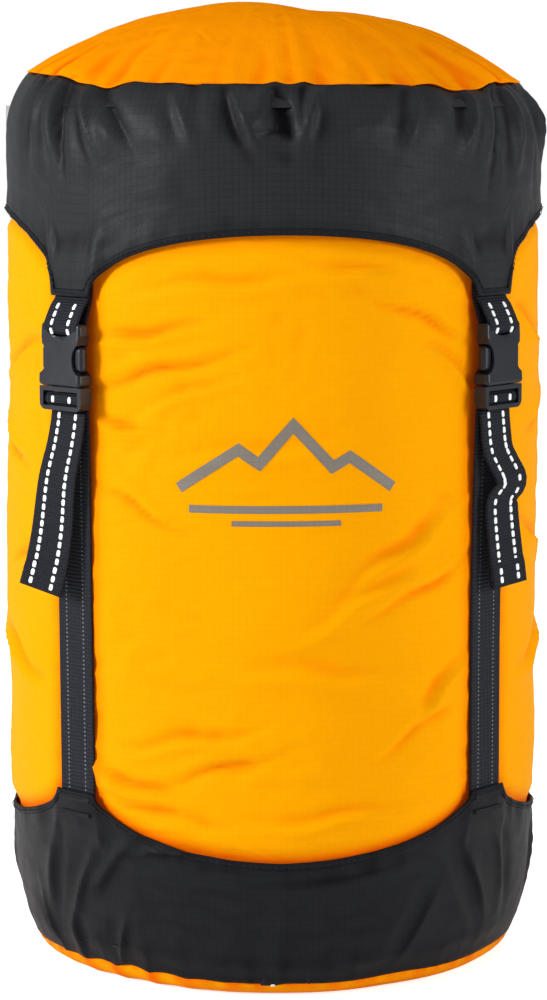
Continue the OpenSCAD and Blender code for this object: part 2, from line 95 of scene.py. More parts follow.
clothShape = {
    "strapDip": 2.6 * mm,       # how far the straps pull the cloth in
    "strapDipHalf": 9 * mm,
    "panelBulge": 2.4 * mm,     # how far the panels swell between the straps
    "drawIn": 50 * mm,          # height over which the base draws in to its seam
    "tabHalf": 10.9 * mm,       # half the width of a skirt's tab
    "baseScallopZ": 56.5 * mm,
    "baseSideZ": 61 * mm,
    "lidScallopZ": 303.5 * mm,
    "lidSideZ": 309 * mm,
    "hemWidth": 3.0 * mm,
    "gap": 0.8 * mm,            # from the tube to the middle of a strap that lies on it
}


def baseProfile(depth):
    # radius of the sack at a height above the base seam
    share = min(1.0, max(0.0, depth / clothShape["drawIn"]))
    return seamR + (tubeR - seamR) * (1 - (1 - share) ** 2.2)


def wrap(angle):
    return (angle + math.pi) % (2 * math.pi) - math.pi


def smooth(x):
    x = min(1.0, max(0.0, x))
    return x * x * (3 - 2 * x)


def bell(x, width):
    return math.exp(-(x / width) ** 2)


def billow(x, y, z):
    return noise.noise(Vector((x, y, z)))


def ridged(x, y, seed):
    # creased noise: sharp ridges, soft valleys
    return 1 - 2 * abs(billow(x, y, seed))


def outward(angle):
    return Vector((math.sin(angle), -math.cos(angle), 0))


def along(angle):
    return Vector((math.cos(angle), math.sin(angle), 0))


def newMaterial(name, roughness=0.5, specular=0.5):
    # a bare material, its shader, and the places it reads: the piece's UV map and its object's space
    material = bpy.data.materials.new(name)
    material.use_nodes = True
    tree = material.node_tree
    tree.nodes.clear()
    out = tree.nodes.new("ShaderNodeOutputMaterial")
    shader = tree.nodes.new("ShaderNodeBsdfPrincipled")
    tree.links.new(shader.outputs["BSDF"], out.inputs["Surface"])
    shader.inputs["Roughness"].default_value = roughness
    shader.inputs["Specular IOR Level"].default_value = specular
    coordinates = tree.nodes.new("ShaderNodeTexCoord").outputs
    return material, tree, shader, coordinates["UV"], coordinates["Object"]


def mathNode(tree, operation, a, b=None, c=None, clamp=False):
    node = tree.nodes.new("ShaderNodeMath")
    node.operation = operation
    node.use_clamp = clamp
    for socket, value in zip(node.inputs, (a, b, c)):
        if value is None:
            continue
        if isinstance(value, (int, float)):
            socket.default_value = value
        else:
            tree.links.new(value, socket)
    return node.outputs[0]


def mixColour(tree, factor, first, second):
    node = tree.nodes.new("ShaderNodeMix")
    node.data_type = "RGBA"
    for name, value in (("Factor", factor), ("A", first), ("B", second)):
        socket = [s for s in node.inputs if s.name == name and s.enabled][0]
        if isinstance(value, tuple):
            socket.default_value = (*value, 1)
        elif isinstance(value, (int, float)):
            socket.default_value = value
        else:
            tree.links.new(value, socket)
    return [s for s in node.outputs if s.enabled][0]


def noiseNode(tree, vector, scale, detail=2.0, kind="FBM", distortion=0.0):
    node = tree.nodes.new("ShaderNodeTexNoise")
    node.noise_type = kind
    node.inputs["Scale"].default_value = scale
    node.inputs["Detail"].default_value = detail
    node.inputs["Distortion"].default_value = distortion
    tree.links.new(vector, node.inputs["Vector"])
    return node.outputs[0]


def mapped(tree, source, scale, rotation=(0, 0, 0)):
    node = tree.nodes.new("ShaderNodeMapping")
    node.inputs["Scale"].default_value = scale
    node.inputs["Rotation"].default_value = rotation
    tree.links.new(source, node.inputs["Vector"])
    return node.outputs[0]


def bump(tree, height, distance, strength, below=None):
    node = tree.nodes.new("ShaderNodeBump")
    node.inputs["Distance"].default_value = distance
    node.inputs["Strength"].default_value = strength
    tree.links.new(height, node.inputs["Height"])
    if below is not None:
        tree.links.new(below, node.inputs["Normal"])
    return node.outputs[0]


clothLook = {
    "ripstopPitch": 2.6 * mm,
    "ripstopThread": 0.42 * mm,
    "weavePitch": 0.5 * mm,
    "patchTurns": 1.6,                  # how strongly the two tones of the cloth part into patches
    "speck": 0.10,
    "light": (1, 0.08, 0, 1),           # painted glow: a red-orange emission, standing in for light that comes through thin cloth, keeps the cloth's shadows warm
}


def gridLines(tree, uv):
    # 1 on the threads of the ripstop grid, 0 between them
    pitch, width = clothLook["ripstopPitch"], clothLook["ripstopThread"]
    split = tree.nodes.new("ShaderNodeSeparateXYZ")
    tree.links.new(uv, split.inputs[0])
    lines = []
    for axis in (0, 1):
        steps = mathNode(tree, "DIVIDE", split.outputs[axis], pitch)
        distance = mathNode(tree, "PINGPONG", steps, 0.5)
        lines.append(mathNode(tree, "LESS_THAN", distance, width / pitch / 2))
    return mathNode(tree, "MAXIMUM", lines[0], lines[1]), split


def ripples(tree, source, pitch):
    # a sine along one coordinate
    return mathNode(tree, "SINE", mathNode(tree, "MULTIPLY", source, 2 * math.pi / pitch))


def clothMaterial(name, light, deep, paintedShade, roughness, specular, gridShade, crinkle, glow=0.0):
    # coated ripstop: ripstop grid, plain weave, fine crinkles, painted shade (a deeper tone in folds, hollows, by
    # seams and skirt edges and beside straps) and, where a glow is given, a painted glow
    material, tree, shader, uv, point = newMaterial(name, specular=specular)
    grid, split = gridLines(tree, uv)
    patch = noiseNode(tree, point, 9.0, 3.0)
    share = mathNode(tree, "MULTIPLY_ADD", patch, clothLook["patchTurns"], clamp=True)
    tone = mixColour(tree, share, light, deep)
    # painted shade: the mesh's shade attribute mixes the cloth towards its deeper shade tone in folds, hollows, by
    # seams and skirt edges and beside straps
    paintedShadeMask = tree.nodes.new("ShaderNodeAttribute")
    paintedShadeMask.attribute_name = "paintedShade"
    tone = mixColour(tree, paintedShadeMask.outputs["Fac"], tone, paintedShade)
    speck = noiseNode(tree, point, 420.0, 2.0)
    shade = mathNode(tree, "MULTIPLY", grid, gridShade)
    shade = mathNode(tree, "ADD", shade, mathNode(tree, "MULTIPLY", speck, clothLook["speck"]))
    # the ripstop grid's threads and the specks are mixed towards the same deeper tone
    tree.links.new(mixColour(tree, shade, tone, paintedShade), shader.inputs["Base Color"])
    slanted = mapped(tree, uv, (1.0, 1.9, 1.0), (0, 0, 0.35))
    creases = noiseNode(tree, slanted, 46.0, 3.0, "RIDGED_MULTIFRACTAL", 0.6)
    normal = bump(tree, creases, 0.9 * mm, crinkle)
    normal = bump(tree, noiseNode(tree, uv, 190.0, 2.0), 0.35 * mm, crinkle * 0.8, normal)
    warp, weft = (ripples(tree, split.outputs[axis], clothLook["weavePitch"]) for axis in (0, 1))
    weave = mathNode(tree, "MULTIPLY", mathNode(tree, "MULTIPLY", warp, weft), 0.25)
    normal = bump(tree, mathNode(tree, "ADD", weave, grid), 0.08 * mm, 0.35, normal)
    tree.links.new(normal, shader.inputs["Normal"])
    rough = mathNode(tree, "MULTIPLY_ADD", speck, 0.14, roughness - 0.07)
    tree.links.new(rough, shader.inputs["Roughness"])
    shader.inputs["Specular Tint"].default_value = (*(c ** 0.5 for c in light), 1)
    # painted glow: the cloth glows red-orange with the given strength, so its shadows stay warm
    shader.inputs["Emission Color"].default_value = clothLook["light"]
    shader.inputs["Emission Strength"].default_value = glow
    return material


webbingLook = {
    "threadPitch": 1.0 * mm,
    "dotPitch": 1.7 * mm,               # dotted lines on the reverse: pitch, place and half width
    "dotPlace": 5 * mm,
    "dotHalf": 0.35 * mm,
    "dot": (0.4, 0.41, 0.43),
    "fuzz": (0.06, 0.066, 0.078),
}


def webbingMaterial(name, colour, rib, ribPitch, dotted):
    # ribbed webbing: ribs across, fine threads along, a raised edge, dotted lines on the reverse
    look = webbingLook
    material, tree, shader, uv, point = newMaterial(name, 0.68, 0.14)
    split = tree.nodes.new("ShaderNodeSeparateXYZ")
    tree.links.new(uv, split.inputs[0])
    across, length = split.outputs[0], split.outputs[1]
    threads = mathNode(tree, "MULTIPLY", ripples(tree, across, look["threadPitch"]), 0.7)
    woven = mathNode(tree, "ADD", ripples(tree, length, ribPitch), threads)
    fuzz = noiseNode(tree, point, 900.0, 2.0)
    tone = mixColour(tree, mathNode(tree, "MULTIPLY_ADD", woven, 0.22, 0.38, True), colour, rib)
    if dotted:
        step = mathNode(tree, "PINGPONG", mathNode(tree, "DIVIDE", length, look["dotPitch"]), 0.5)
        dot = mathNode(tree, "GREATER_THAN", step, 0.3)
        off = mathNode(tree, "SUBTRACT", mathNode(tree, "ABSOLUTE", across), look["dotPlace"])
        near = mathNode(tree, "LESS_THAN", mathNode(tree, "ABSOLUTE", off), look["dotHalf"])
        share = mathNode(tree, "MULTIPLY", mathNode(tree, "MULTIPLY", dot, near), 0.5)
        tone = mixColour(tree, share, tone, look["dot"])
    tone = mixColour(tree, mathNode(tree, "MULTIPLY", fuzz, 0.25), tone, look["fuzz"])
    tree.links.new(tone, shader.inputs["Base Color"])
    normal = bump(tree, woven, 0.18 * mm, 0.8)
    tree.links.new(bump(tree, fuzz, 0.1 * mm, 0.5, normal), shader.inputs["Normal"])
    return material


def plasticMaterial(name, colour, roughness):
    # satin moulding: faint mottling, fine spark texture, small scuffs
    material, tree, shader, uv, point = newMaterial(name, specular=0.38)
    mottle = noiseNode(tree, point, 160.0, 3.0)
    scuff = noiseNode(tree, mapped(tree, point, (1, 1, 3.2)), 340.0, 3.0, "RIDGED_MULTIFRACTAL")
    lighter = tuple(min(1, c * 1.7 + 0.004) for c in colour)
    tone = mixColour(tree, mathNode(tree, "MULTIPLY", mottle, 0.5), colour, lighter)
    tree.links.new(tone, shader.inputs["Base Color"])
    grain = noiseNode(tree, point, 2600.0, 2.0)
    normal = bump(tree, grain, 0.05 * mm, 0.35)
    tree.links.new(bump(tree, scuff, 0.04 * mm, 0.2, normal), shader.inputs["Normal"])
    rough = mathNode(tree, "MULTIPLY_ADD", mottle, 0.16, roughness - 0.08)
    tree.links.new(rough, shader.inputs["Roughness"])
    return material


def threadMaterial(name, colour, pitch, shadow=0.55):
    # twisted thread or braid
    material, tree, shader, uv, point = newMaterial(name, 0.7, 0.15)
    twist = tree.nodes.new("ShaderNodeTexWave")
    twist.bands_direction = "DIAGONAL"
    twist.inputs["Scale"].default_value = 1 / pitch / 20
    twist.inputs["Distortion"].default_value = 1.2
    tree.links.new(point, twist.inputs["Vector"])
    tone = mixColour(tree, twist.outputs["Fac"], tuple(c * shadow for c in colour), colour)
    tree.links.new(tone, shader.inputs["Base Color"])
    tree.links.new(bump(tree, twist.outputs["Fac"], 0.15 * mm, 0.7), shader.inputs["Normal"])
    return material


def metalMaterial(name):
    material, tree, shader, uv, point = newMaterial(name, 0.3)
    streak = noiseNode(tree, mapped(tree, point, (1, 6, 6)), 700.0, 2.0)
    tone = mixColour(tree, streak, (0.5, 0.51, 0.53), (0.68, 0.69, 0.71))
    tree.links.new(tone, shader.inputs["Base Color"])
    shader.inputs["Metallic"].default_value = 1.0
    return material


def printMaterial(name, colour):
    # flat ink that lets a little of the cloth's grid through
    material, tree, shader, uv, point = newMaterial(name, 0.55)
    ink = noiseNode(tree, point, 260.0, 3.0)
    grid = mathNode(tree, "MULTIPLY", gridLines(tree, uv)[0], 0.25)
    share = mathNode(tree, "ADD", mathNode(tree, "MULTIPLY", ink, 0.3), grid)
    tone = mixColour(tree, share, colour, tuple(c * 0.7 for c in colour))
    tree.links.new(tone, shader.inputs["Base Color"])
    tree.links.new(bump(tree, ink, 0.15 * mm, 0.3), shader.inputs["Normal"])
    return material


# each cloth: its tone, its deeper patches and the tone of its painted shade, which the grid's threads share, then
# roughness, specular, grid and crinkle, and the orange cloths' painted glow
orangeCloth = clothMaterial("orangeRipstop", (0.81, 0.42, 0.001), (0.80, 0.345, 0.0008),
                            (0.76, 0.13, 0.0004), 0.52, 0.02, 0.06, 0.9, 0.08)
lidCloth = clothMaterial("lidRipstop", (0.80, 0.33, 0.001), (0.79, 0.27, 0.0008),
                         (0.72, 0.11, 0.0004), 0.55, 0.0, 0.06, 0.85, 0.09)
darkCloth = clothMaterial("charcoalRipstop", (0.030, 0.031, 0.033), (0.022, 0.023, 0.025),
                          (0.007, 0.007, 0.009), 0.42, 0.26, 0.26, 0.5)
# painted shade: the base skirt, low on the sack, takes a darker copy of the charcoal cloth
paintedShadeBaseCloth = clothMaterial("baseRipstopPaintedShade", (0.022, 0.023, 0.025), (0.015, 0.016, 0.018),
                         (0.006, 0.006, 0.008), 0.44, 0.2, 0.22, 0.5)
bindingCloth = clothMaterial("hemCloth", (0.018, 0.019, 0.022), (0.013, 0.014, 0.017),
                             (0.006, 0.006, 0.008), 0.5, 0.2, 0.2, 0.45)
webbingFace = webbingMaterial("webbingFace", (0.0035, 0.004, 0.007), (0.013, 0.015, 0.022), 1.3 * mm, False)
webbingBack = webbingMaterial("webbingReverse", (0.004, 0.0045, 0.008), (0.016, 0.019, 0.028), 1.5 * mm, True)
reflective = threadMaterial("reflectiveYarn", (0.95, 0.96, 0.97), 0.4 * mm, 0.85)
stitchThread = threadMaterial("darkThread", (0.014, 0.015, 0.018), 0.3 * mm)
bucklePlastic = plasticMaterial("bucklePlastic", (0.0058, 0.0076, 0.0122), 0.36)
cordBraid = threadMaterial("cordBraid", (0.09, 0.095, 0.105), 1.4 * mm)
labelTape = printMaterial("labelTape", (0.72, 0.76, 0.78))
emblemInk = printMaterial("emblemInk", (0.19, 0.165, 0.135))
springSteel = metalMaterial("springSteel")
print("materials made")


def dressed(piece, material, body, slotName, *nodes):
    if material is not None and not piece.data.materials:
        piece.data.materials.append(material)
    if body is None:
        # cloth between the base and the crown, which crumples when the sack is compressed
        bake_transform(piece)
    else:
        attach(piece, body)
    if nodes:
        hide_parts(*nodes)
    return piece


def placed(name, data):
    piece = bpy.data.objects.new(name, data)
    bpy.context.scene.collection.objects.link(piece)
    return piece


def fromBmesh(name, bm):
    mesh = bpy.data.meshes.new(name)
    bm.to_mesh(mesh)
    bm.free()
    return placed(name, mesh)


def clean():
    bpy.ops.object.select_all(action="DESELECT")


def only(piece):
    clean()
    piece.select_set(True)
    bpy.context.view_layer.objects.active = piece


def thicken(piece, thickness):
    # a wall of this thickness inwards from the face
    modifier = piece.modifiers.new("wall", "SOLIDIFY")
    modifier.thickness = thickness
    modifier.offset = -1.0
    modifier.use_quality_normals = True
    only(piece)
    bpy.ops.object.modifier_apply(modifier=modifier.name)


def cavityOf(points, columns, rows, reach, depth):
    # how far each point lies in a hollow of the cloth, from 0 to 1
    grid = np.array([tuple(p) for p in points]).reshape(rows + 1, columns, 3)
    total = np.zeros_like(grid)
    padded = np.concatenate([np.repeat(grid[:1], reach, 0), grid, np.repeat(grid[-1:], reach, 0)])
    for j in range(2 * reach + 1):
        for i in range(-reach, reach + 1):
            total += np.roll(padded[j:j + rows + 1], i, 1)
    mean = total / (2 * reach + 1) ** 2
    across = np.roll(grid, -1, 1) - np.roll(grid, 1, 1)
    normal = np.cross(across, np.gradient(grid, axis=0))
    normal /= np.linalg.norm(normal, axis=2, keepdims=True) + 1e-12
    return np.clip(((mean - grid) * normal).sum(2) / depth, 0, 1).ravel()


def sheetGrid(name, columns, rows, place, paintedShade=None, capped=False, cavity=(4, 0.7 * mm)):
    # a closed band of quads; place(angle, t) gives the point, u runs round the sack and v up it
    points = []
    folds = []
    for j in range(rows + 1):
        for i in range(columns):
            angle = 2 * math.pi * i / columns - math.pi
            points.append(place(angle, j / rows))
            folds.append(paintedShade(angle, j / rows) if paintedShade else 0.0)
    # painted shade: each point's share of the given mask plus how deep it lies in a hollow, stored on the mesh for
    # its cloth's colour
    hollows = cavityOf(points, columns, rows, *cavity)
    folds = [min(1.0, a + b) for a, b in zip(folds, hollows)]
    faces = []
    for j in range(rows):
        for i in range(columns):
            k = (i + 1) % columns
            faces.append((j * columns + i, j * columns + k, (j + 1) * columns + k, (j + 1) * columns + i))
    if capped:
        top = len(points)
        points.append(sum((points[rows * columns + i] for i in range(columns)), Vector()) / columns)
        folds.append(0.0)
        for i in range(columns):
            faces.append((rows * columns + i, rows * columns + (i + 1) % columns, top))
    mesh = bpy.data.meshes.new(name)
    mesh.from_pydata(points, [], faces)
    uvLayer = mesh.uv_layers.new(name="UVMap")
    heights = [0.0]
    for j in range(1, rows + 1):
        step = (points[j * columns + columns // 2] - points[(j - 1) * columns + columns // 2]).length
        heights.append(heights[-1] + step)
    heights.append(heights[-1])
    for polygon in mesh.polygons:
        for loop in polygon.loop_indices:
            index = mesh.loops[loop].vertex_index
            j = index // columns
            i = index % columns
            wrapped = i == 0 and polygon.vertices[0] % columns == columns - 1
            turn = (columns if wrapped else i) / columns
            uvLayer.data[loop].uv = (turn * 2 * math.pi * tubeR, heights[min(j, rows)])
    attribute = mesh.attributes.new("paintedShade", "FLOAT", "POINT")
    attribute.data.foreach_set("value", folds)
    mesh.shade_smooth()
    return placed(name, mesh)


# folds on the orange tube: angle, height, half length, half width (mm), lean (deg), depth (mm)
tubeFolds = [
    (-30, 262, 22, 3.0, 8, 1.5), (-26, 251, 26, 3.4, 14, -1.3), (-20, 240, 20, 3.0, 20, 1.0),
    (-36, 226, 14, 2.6, -12, 1.2), (-32, 196, 20, 3.4, -24, -1.0), (-12, 282, 30, 4.0, 4, 1.0),
    (16, 287, 24, 3.4, -8, 1.1), (30, 270, 20, 3.0, -22, -1.2), (37, 250, 16, 2.6, -34, 1.3),
    (26, 178, 24, 4.0, 32, 1.5), (32, 165, 22, 3.2, 24, -1.2), (18, 160, 26, 4.6, 30, 0.9),
    (36, 122, 16, 3.0, 44, 1.3), (30, 108, 18, 3.2, 30, -1.1), (-20, 102, 24, 3.4, 10, 1.2),
    (-14, 94, 22, 3.0, 16, -1.0), (-36, 84, 18, 3.2, -18, 1.5), (-28, 76, 20, 3.0, -8, -1.1),
    (6, 128, 34, 6.0, -6, 0.8), (-6, 216, 34, 6.0, 5, 0.7), (10, 72, 30, 3.4, 6, 0.9),
    (-72, 250, 22, 3.4, 18, 1.4), (-80, 214, 18, 3.2, -20, -1.3), (-68, 170, 18, 3.0, 26, 1.3),
    (-76, 128, 22, 3.6, -24, 1.4), (70, 262, 20, 3.2, -20, 1.5), (78, 226, 18, 3.0, 18, -1.2),
    (72, 176, 20, 3.2, -26, 1.3), (80, 130, 22, 3.6, 22, 1.4), (110, 240, 24, 3.4, 16, 1.3),
    (-112, 200, 24, 3.6, -18, 1.4), (150, 262, 26, 3.2, 10, 1.2), (-150, 250, 26, 3.4, -12, 1.3),
    (172, 190, 30, 5.0, 8, 1.0), (-164, 120, 26, 3.6, 22, 1.3), (158, 104, 24, 3.4, -18, 1.2),
]


def strapShare(angle):
    # 1 on a strap's line, falling to 0 beside it
    return max(bell(wrap(angle - a) * tubeR, clothShape["strapDipHalf"]) for a in strapAngle.values())


def tabShare(angle):
    # 1 over a strap's whole width, falling to 0 beside it
    near = min(abs(wrap(angle - a)) for a in strapAngle.values()) * tubeR
    return 1 - smooth((near - webbingW / 2 - 0.6 * mm) / (8 * mm))


def panelOf(angle):
    # middle and half width of the panel between two straps that holds this angle
    for middle, half in ((0, frontStrap), (math.pi / 2, math.pi / 2 - frontStrap),
                         (math.pi, frontStrap), (-math.pi / 2, math.pi / 2 - frontStrap)):
        if abs(wrap(angle - middle)) <= half + 1e-6:
            return middle, half
    return 0, frontStrap


def crease(off, width):
    # a sharp ridge with a soft trough on one side
    return math.exp(-abs(off / width) ** 1.35) - 0.6 * bell(off - 1.9 * width, 1.5 * width)


def tubeFoldDepth(angle, z):
    total = 0.0
    for a, height, halfLength, halfWidth, lean, depth in tubeFolds:
        s = wrap(angle - math.radians(a)) * tubeR
        if abs(s) > 2.5 * halfLength * mm or abs(z - height * mm) > 2.5 * halfLength * mm:
            continue
        c, n = math.cos(math.radians(lean)), math.sin(math.radians(lean))
        run = s * c + (z - height * mm) * n
        off = -s * n + (z - height * mm) * c
        off += 0.0012 * math.sin(run * 160 + a)
        total += 2.1 * depth * mm * bell(run, halfLength * mm) * crease(off, halfWidth * mm * 0.6)
    return total


def tubeRadius(angle, z):
    middle, half = panelOf(angle)
    share = abs(wrap(angle - middle)) / half
    r = tubeR - clothShape["strapDip"] * strapShare(angle)
    r += clothShape["panelBulge"] * (1 - share ** 2.5) * smooth((z - baseSeamZ) / (40 * mm))
    s = angle * tubeR
    p = outward(angle) * tubeR / (42 * mm)
    soft = billow(p.x, p.y, z / (34 * mm))
    q = outward(angle) * tubeR / (17 * mm)
    lean = 0.35 * math.sin(3 * angle + 0.7)
    crumple = ridged(0.6 * q.x + lean * z / (20 * mm), 0.6 * q.y, z / (7.5 * mm))
    w = outward(angle) * tubeR / (7 * mm)
    fine = ridged(w.x, w.y + 3.1, z / (4.6 * mm) + lean * s / (16 * mm))
    patch = smooth(0.5 + 0.9 * billow(p.x + 7, p.y, z / (50 * mm)))
    r += 1.3 * mm * soft + (0.1 + 0.45 * patch) * mm * crumple + 0.12 * mm * patch * fine
    # the left side swells above the lid's side scallop and low down
    swells = bell(z - 0.318, 0.016) + bell(z - 0.15, 0.06) - 0.6 * bell(z - 0.245, 0.03)
    r += 1.5 * mm * bell(wrap(angle + 1.6), 0.4) * swells
    r += tubeFoldDepth(angle, z)
    # gathers that run up from the base seam and in from the straps
    seamNear = math.exp(-(z - baseSeamZ) / (16 * mm))
    r += 0.8 * mm * seamNear * ridged(q.x * 1.6, q.y * 1.6, 0.4)
    place = wrap(angle - middle)
    beside = bell(place * tubeR - math.copysign(half * tubeR - 13 * mm, place), 9 * mm)
    r += 0.7 * mm * beside * ridged(4.7, z / (12 * mm), 9.2 + middle)
    draw = tubeR - baseProfile(z - baseSeamZ)
    r -= draw
    # under the two skirts the cloth lies flat and inside them
    middleBase = baseEdge(angle)
    under = 1 - smooth((z - middleBase + 1 * mm) / (9 * mm))
    over = smooth((z - lidEdge(angle) + 8 * mm) / (9 * mm))
    hidden = max(under, over)
    limit = tubeR - 0.4 * mm - draw
    return min(r, limit) * hidden + r * (1 - hidden) if hidden < 1 else min(r, limit)


def scallopShare(angle, power):
    # 0 at the middle of a scallop, 1 at the tabs
    middle, half = panelOf(angle)
    reach = half * tubeR - clothShape["tabHalf"]
    share = min(1.0, abs(wrap(angle - middle)) * tubeR / reach)
    return 1 - (1 - share ** power) ** (1 / power), abs(middle) % math.pi > 0.1


def baseEdge(angle):
    share, side = scallopShare(angle, 1.75)
    low = clothShape["baseSideZ"] if side else clothShape["baseScallopZ"]
    return low + (baseTabZ - low) * share


def lidEdge(angle):
    share, side = scallopShare(angle, 2.05)
    high = clothShape["lidSideZ"] if side else clothShape["lidScallopZ"]
    return high - (high - lidTabZ) * share


def lidSeam(angle):
    # the seam wanders a little and dips where the straps pull
    dip = sum(bell(wrap(angle - a * 0.93) * tubeR, 13 * mm) for a in strapAngle.values())
    p = outward(angle) * 2.4
    steps = 0.7 * mm * math.sin(angle * 31 + 2.0) * bell(abs(wrap(angle)) - 0.8, 0.25)
    bumps = 1.0 * mm * (bell(wrap(angle + 0.04) * tubeR, 3 * mm) + bell(wrap(angle - 0.07) * tubeR, 3 * mm))
    rise = 1.6 * mm + 4.2 * mm * bell(wrap(angle + 1.35), 0.42)
    return lidSeamZ - 3.2 * mm * dip + 1.3 * mm * billow(p.x, p.y, 5.5) + steps + bumps + rise


def baseSeam(angle):
    p = outward(angle) * 3.1
    scallops = abs(math.sin(angle * 19 + 1.3)) * bell(wrap(angle + 0.68) * tubeR, 34 * mm)
    low = 0.9 * mm + 2.4 * mm * bell(wrap(angle - 0.06), 0.6)
    return baseSeamZ + 1.0 * mm * billow(p.x, p.y, 8.5) + 1.8 * mm * scallops - low


def skirtGather(angle, depth, seed):
    # short gathers under a seam: strong at the seam, gone some way from it
    q = outward(angle) * tubeR
    coarse = ridged(q.x / (15 * mm), q.y / (15 * mm), seed + depth / (60 * mm))
    fine = ridged(q.x / (6.5 * mm), q.y / (6.5 * mm), seed + 3 + depth / (40 * mm))
    strength = smooth(0.55 + 1.1 * billow(q.x * 28, q.y * 28, seed))
    sharp = math.copysign(abs(coarse) ** 0.8, coarse)
    gathers = 2.3 * sharp * math.exp(-depth / (22 * mm)) + 0.8 * fine * math.exp(-depth / (8 * mm))
    return gathers * mm * (0.3 + 0.7 * strength)


# folds of the skirts: angle, distance from the seam, half length, half width (mm), lean (deg), height (mm)
lidFolds = [
    (-2, 11, 9, 5.4, 84, -4.2), (5, 10, 11, 2.8, 104, 2.8), (-9, 11, 12, 2.8, 66, 2.6),
    (2, 12, 8, 2.2, 92, 1.8),
    (-2, 19, 7, 2.4, 0, -1.4), (-46, 12, 14, 4.0, 62, 2.4), (-54, 16, 16, 3.6, 78, -2.2),
    (-62, 12, 16, 4.0, 96, 2.2), (-38, 13, 12, 3.2, 52, -1.8), (44, 11, 13, 3.6, 118, 2.2),
    (53, 15, 16, 4.0, 108, -2.4), (61, 14, 17, 4.4, 96, 2.6), (70, 16, 18, 3.8, 84, -2.2),
    (78, 14, 15, 4.0, 76, 2.0), (28, 12, 12, 3.4, 112, 1.4), (-22, 11, 11, 3.4, 66, 1.3),
    (100, 12, 13, 3.6, 90, 2.0), (118, 14, 16, 4.0, 74, -2.0), (136, 12, 15, 3.6, 98, 2.2),
    (160, 11, 12, 3.4, 84, 1.6), (178, 13, 14, 3.6, 96, -1.8), (-160, 12, 13, 3.6, 102, 1.8),
    (-136, 13, 16, 4.0, 84, 2.4), (-118, 14, 15, 3.6, 104, -2.0), (-98, 12, 14, 3.6, 90, 2.0),
]


def foldSum(folds, angle, depth):
    total = 0.0
    for a, low, halfLength, halfWidth, lean, height in folds:
        s = wrap(angle - math.radians(a)) * tubeR
        if abs(s) > 2.6 * halfLength * mm:
            continue
        c, n = math.cos(math.radians(lean)), math.sin(math.radians(lean))
        run = s * c + (depth - low * mm) * n
        off = -s * n + (depth - low * mm) * c
        total += 1.5 * height * mm * bell(run, halfLength * mm) * crease(off, halfWidth * mm * 0.8)
    return total


def lidSkirtRadius(angle, z):
    depth = lidSeam(angle) - z
    full = tubeR + 1.6 * mm
    middle, half = panelOf(angle)
    share = abs(wrap(angle - middle)) / half
    swell = 1.2 * mm * (1 - share ** 2)
    shoulder = 1 - (1 - min(1.0, max(0.0, depth / (26 * mm)))) ** 2.4
    r = seamR - 0.4 * mm + (full + swell - seamR + 0.4 * mm) * shoulder
    q = outward(angle) * tubeR
    r += skirtGather(angle, depth, 2.0)
    r += foldSum(lidFolds, angle, depth) * smooth(depth / (4 * mm))
    soft = billow(q.x / (38 * mm), q.y / (38 * mm), z / (30 * mm))
    crumple = ridged(q.x / (16 * mm), q.y / (16 * mm) + 5, z / (10 * mm))
    r += 0.9 * mm * soft + 0.28 * mm * crumple
    edge = z - lidEdge(angle)
    r += 0.5 * mm * bell(edge - 3 * mm, 6 * mm) * ridged(q.x / (9 * mm), q.y / (9 * mm), 6.6)
    covers = tabShare(angle) * (1 - smooth((edge - 10 * mm) / (14 * mm)))
    return max(r, tubeR + 1.0 * mm if depth > 24 * mm else 0) + 2.5 * mm * covers


baseFolds = [
    (-48, 30, 16, 3.6, 64, 1.8), (-56, 34, 14, 3.2, 80, -1.6), (-40, 40, 14, 3.4, 50, 1.4),
    (-24, 52, 16, 3.0, 12, 1.0), (46, 34, 16, 3.6, 118, 1.5), (58, 38, 14, 3.2, 100, -1.4),
    (-62, 12, 12, 3.0, 110, 1.6), (-50, 9, 10, 2.6, 88, -1.4), (-38, 9, 10, 2.8, 70, 1.4),
    (12, 44, 22, 4.0, 6, 0.9), (30, 20, 16, 3.4, 60, 0.9), (84, 30, 16, 3.6, 76, 1.4),
    (110, 24, 16, 3.6, 100, 1.5), (136, 30, 16, 3.4, 80, -1.4), (170, 26, 16, 3.6, 96, 1.3),
    (-150, 28, 16, 3.6, 84, 1.5), (-120, 24, 16, 3.4, 104, -1.4), (-92, 28, 16, 3.6, 80, 1.4),
]


def baseSkirtRadius(angle, z):
    depth = z - baseSeam(angle)
    r = baseProfile(depth) + 1.3 * mm * smooth(depth / (10 * mm))
    q = outward(angle) * tubeR
    r += 0.34 * skirtGather(angle, depth, 7.0)
    r += foldSum(baseFolds, angle, depth)
    soft = billow(q.x / (40 * mm), q.y / (40 * mm), z / (26 * mm) + 4)
    crumple = ridged(q.x / (15 * mm), q.y / (15 * mm) + 2, z / (9 * mm))
    r += 0.8 * mm * soft + 0.25 * mm * crumple
    edge = baseEdge(angle) - z
    r += 0.45 * mm * bell(edge - 3 * mm, 6 * mm) * ridged(q.x / (9 * mm), q.y / (9 * mm), 3.3)
    covers = tabShare(angle) * (1 - smooth((edge - 10 * mm) / (12 * mm)))
    return max(r, baseProfile(depth) + 0.7 * mm) + 1.5 * mm * covers


def around(angle, r, z):
    return outward(angle) * r + Vector((0, 0, z))


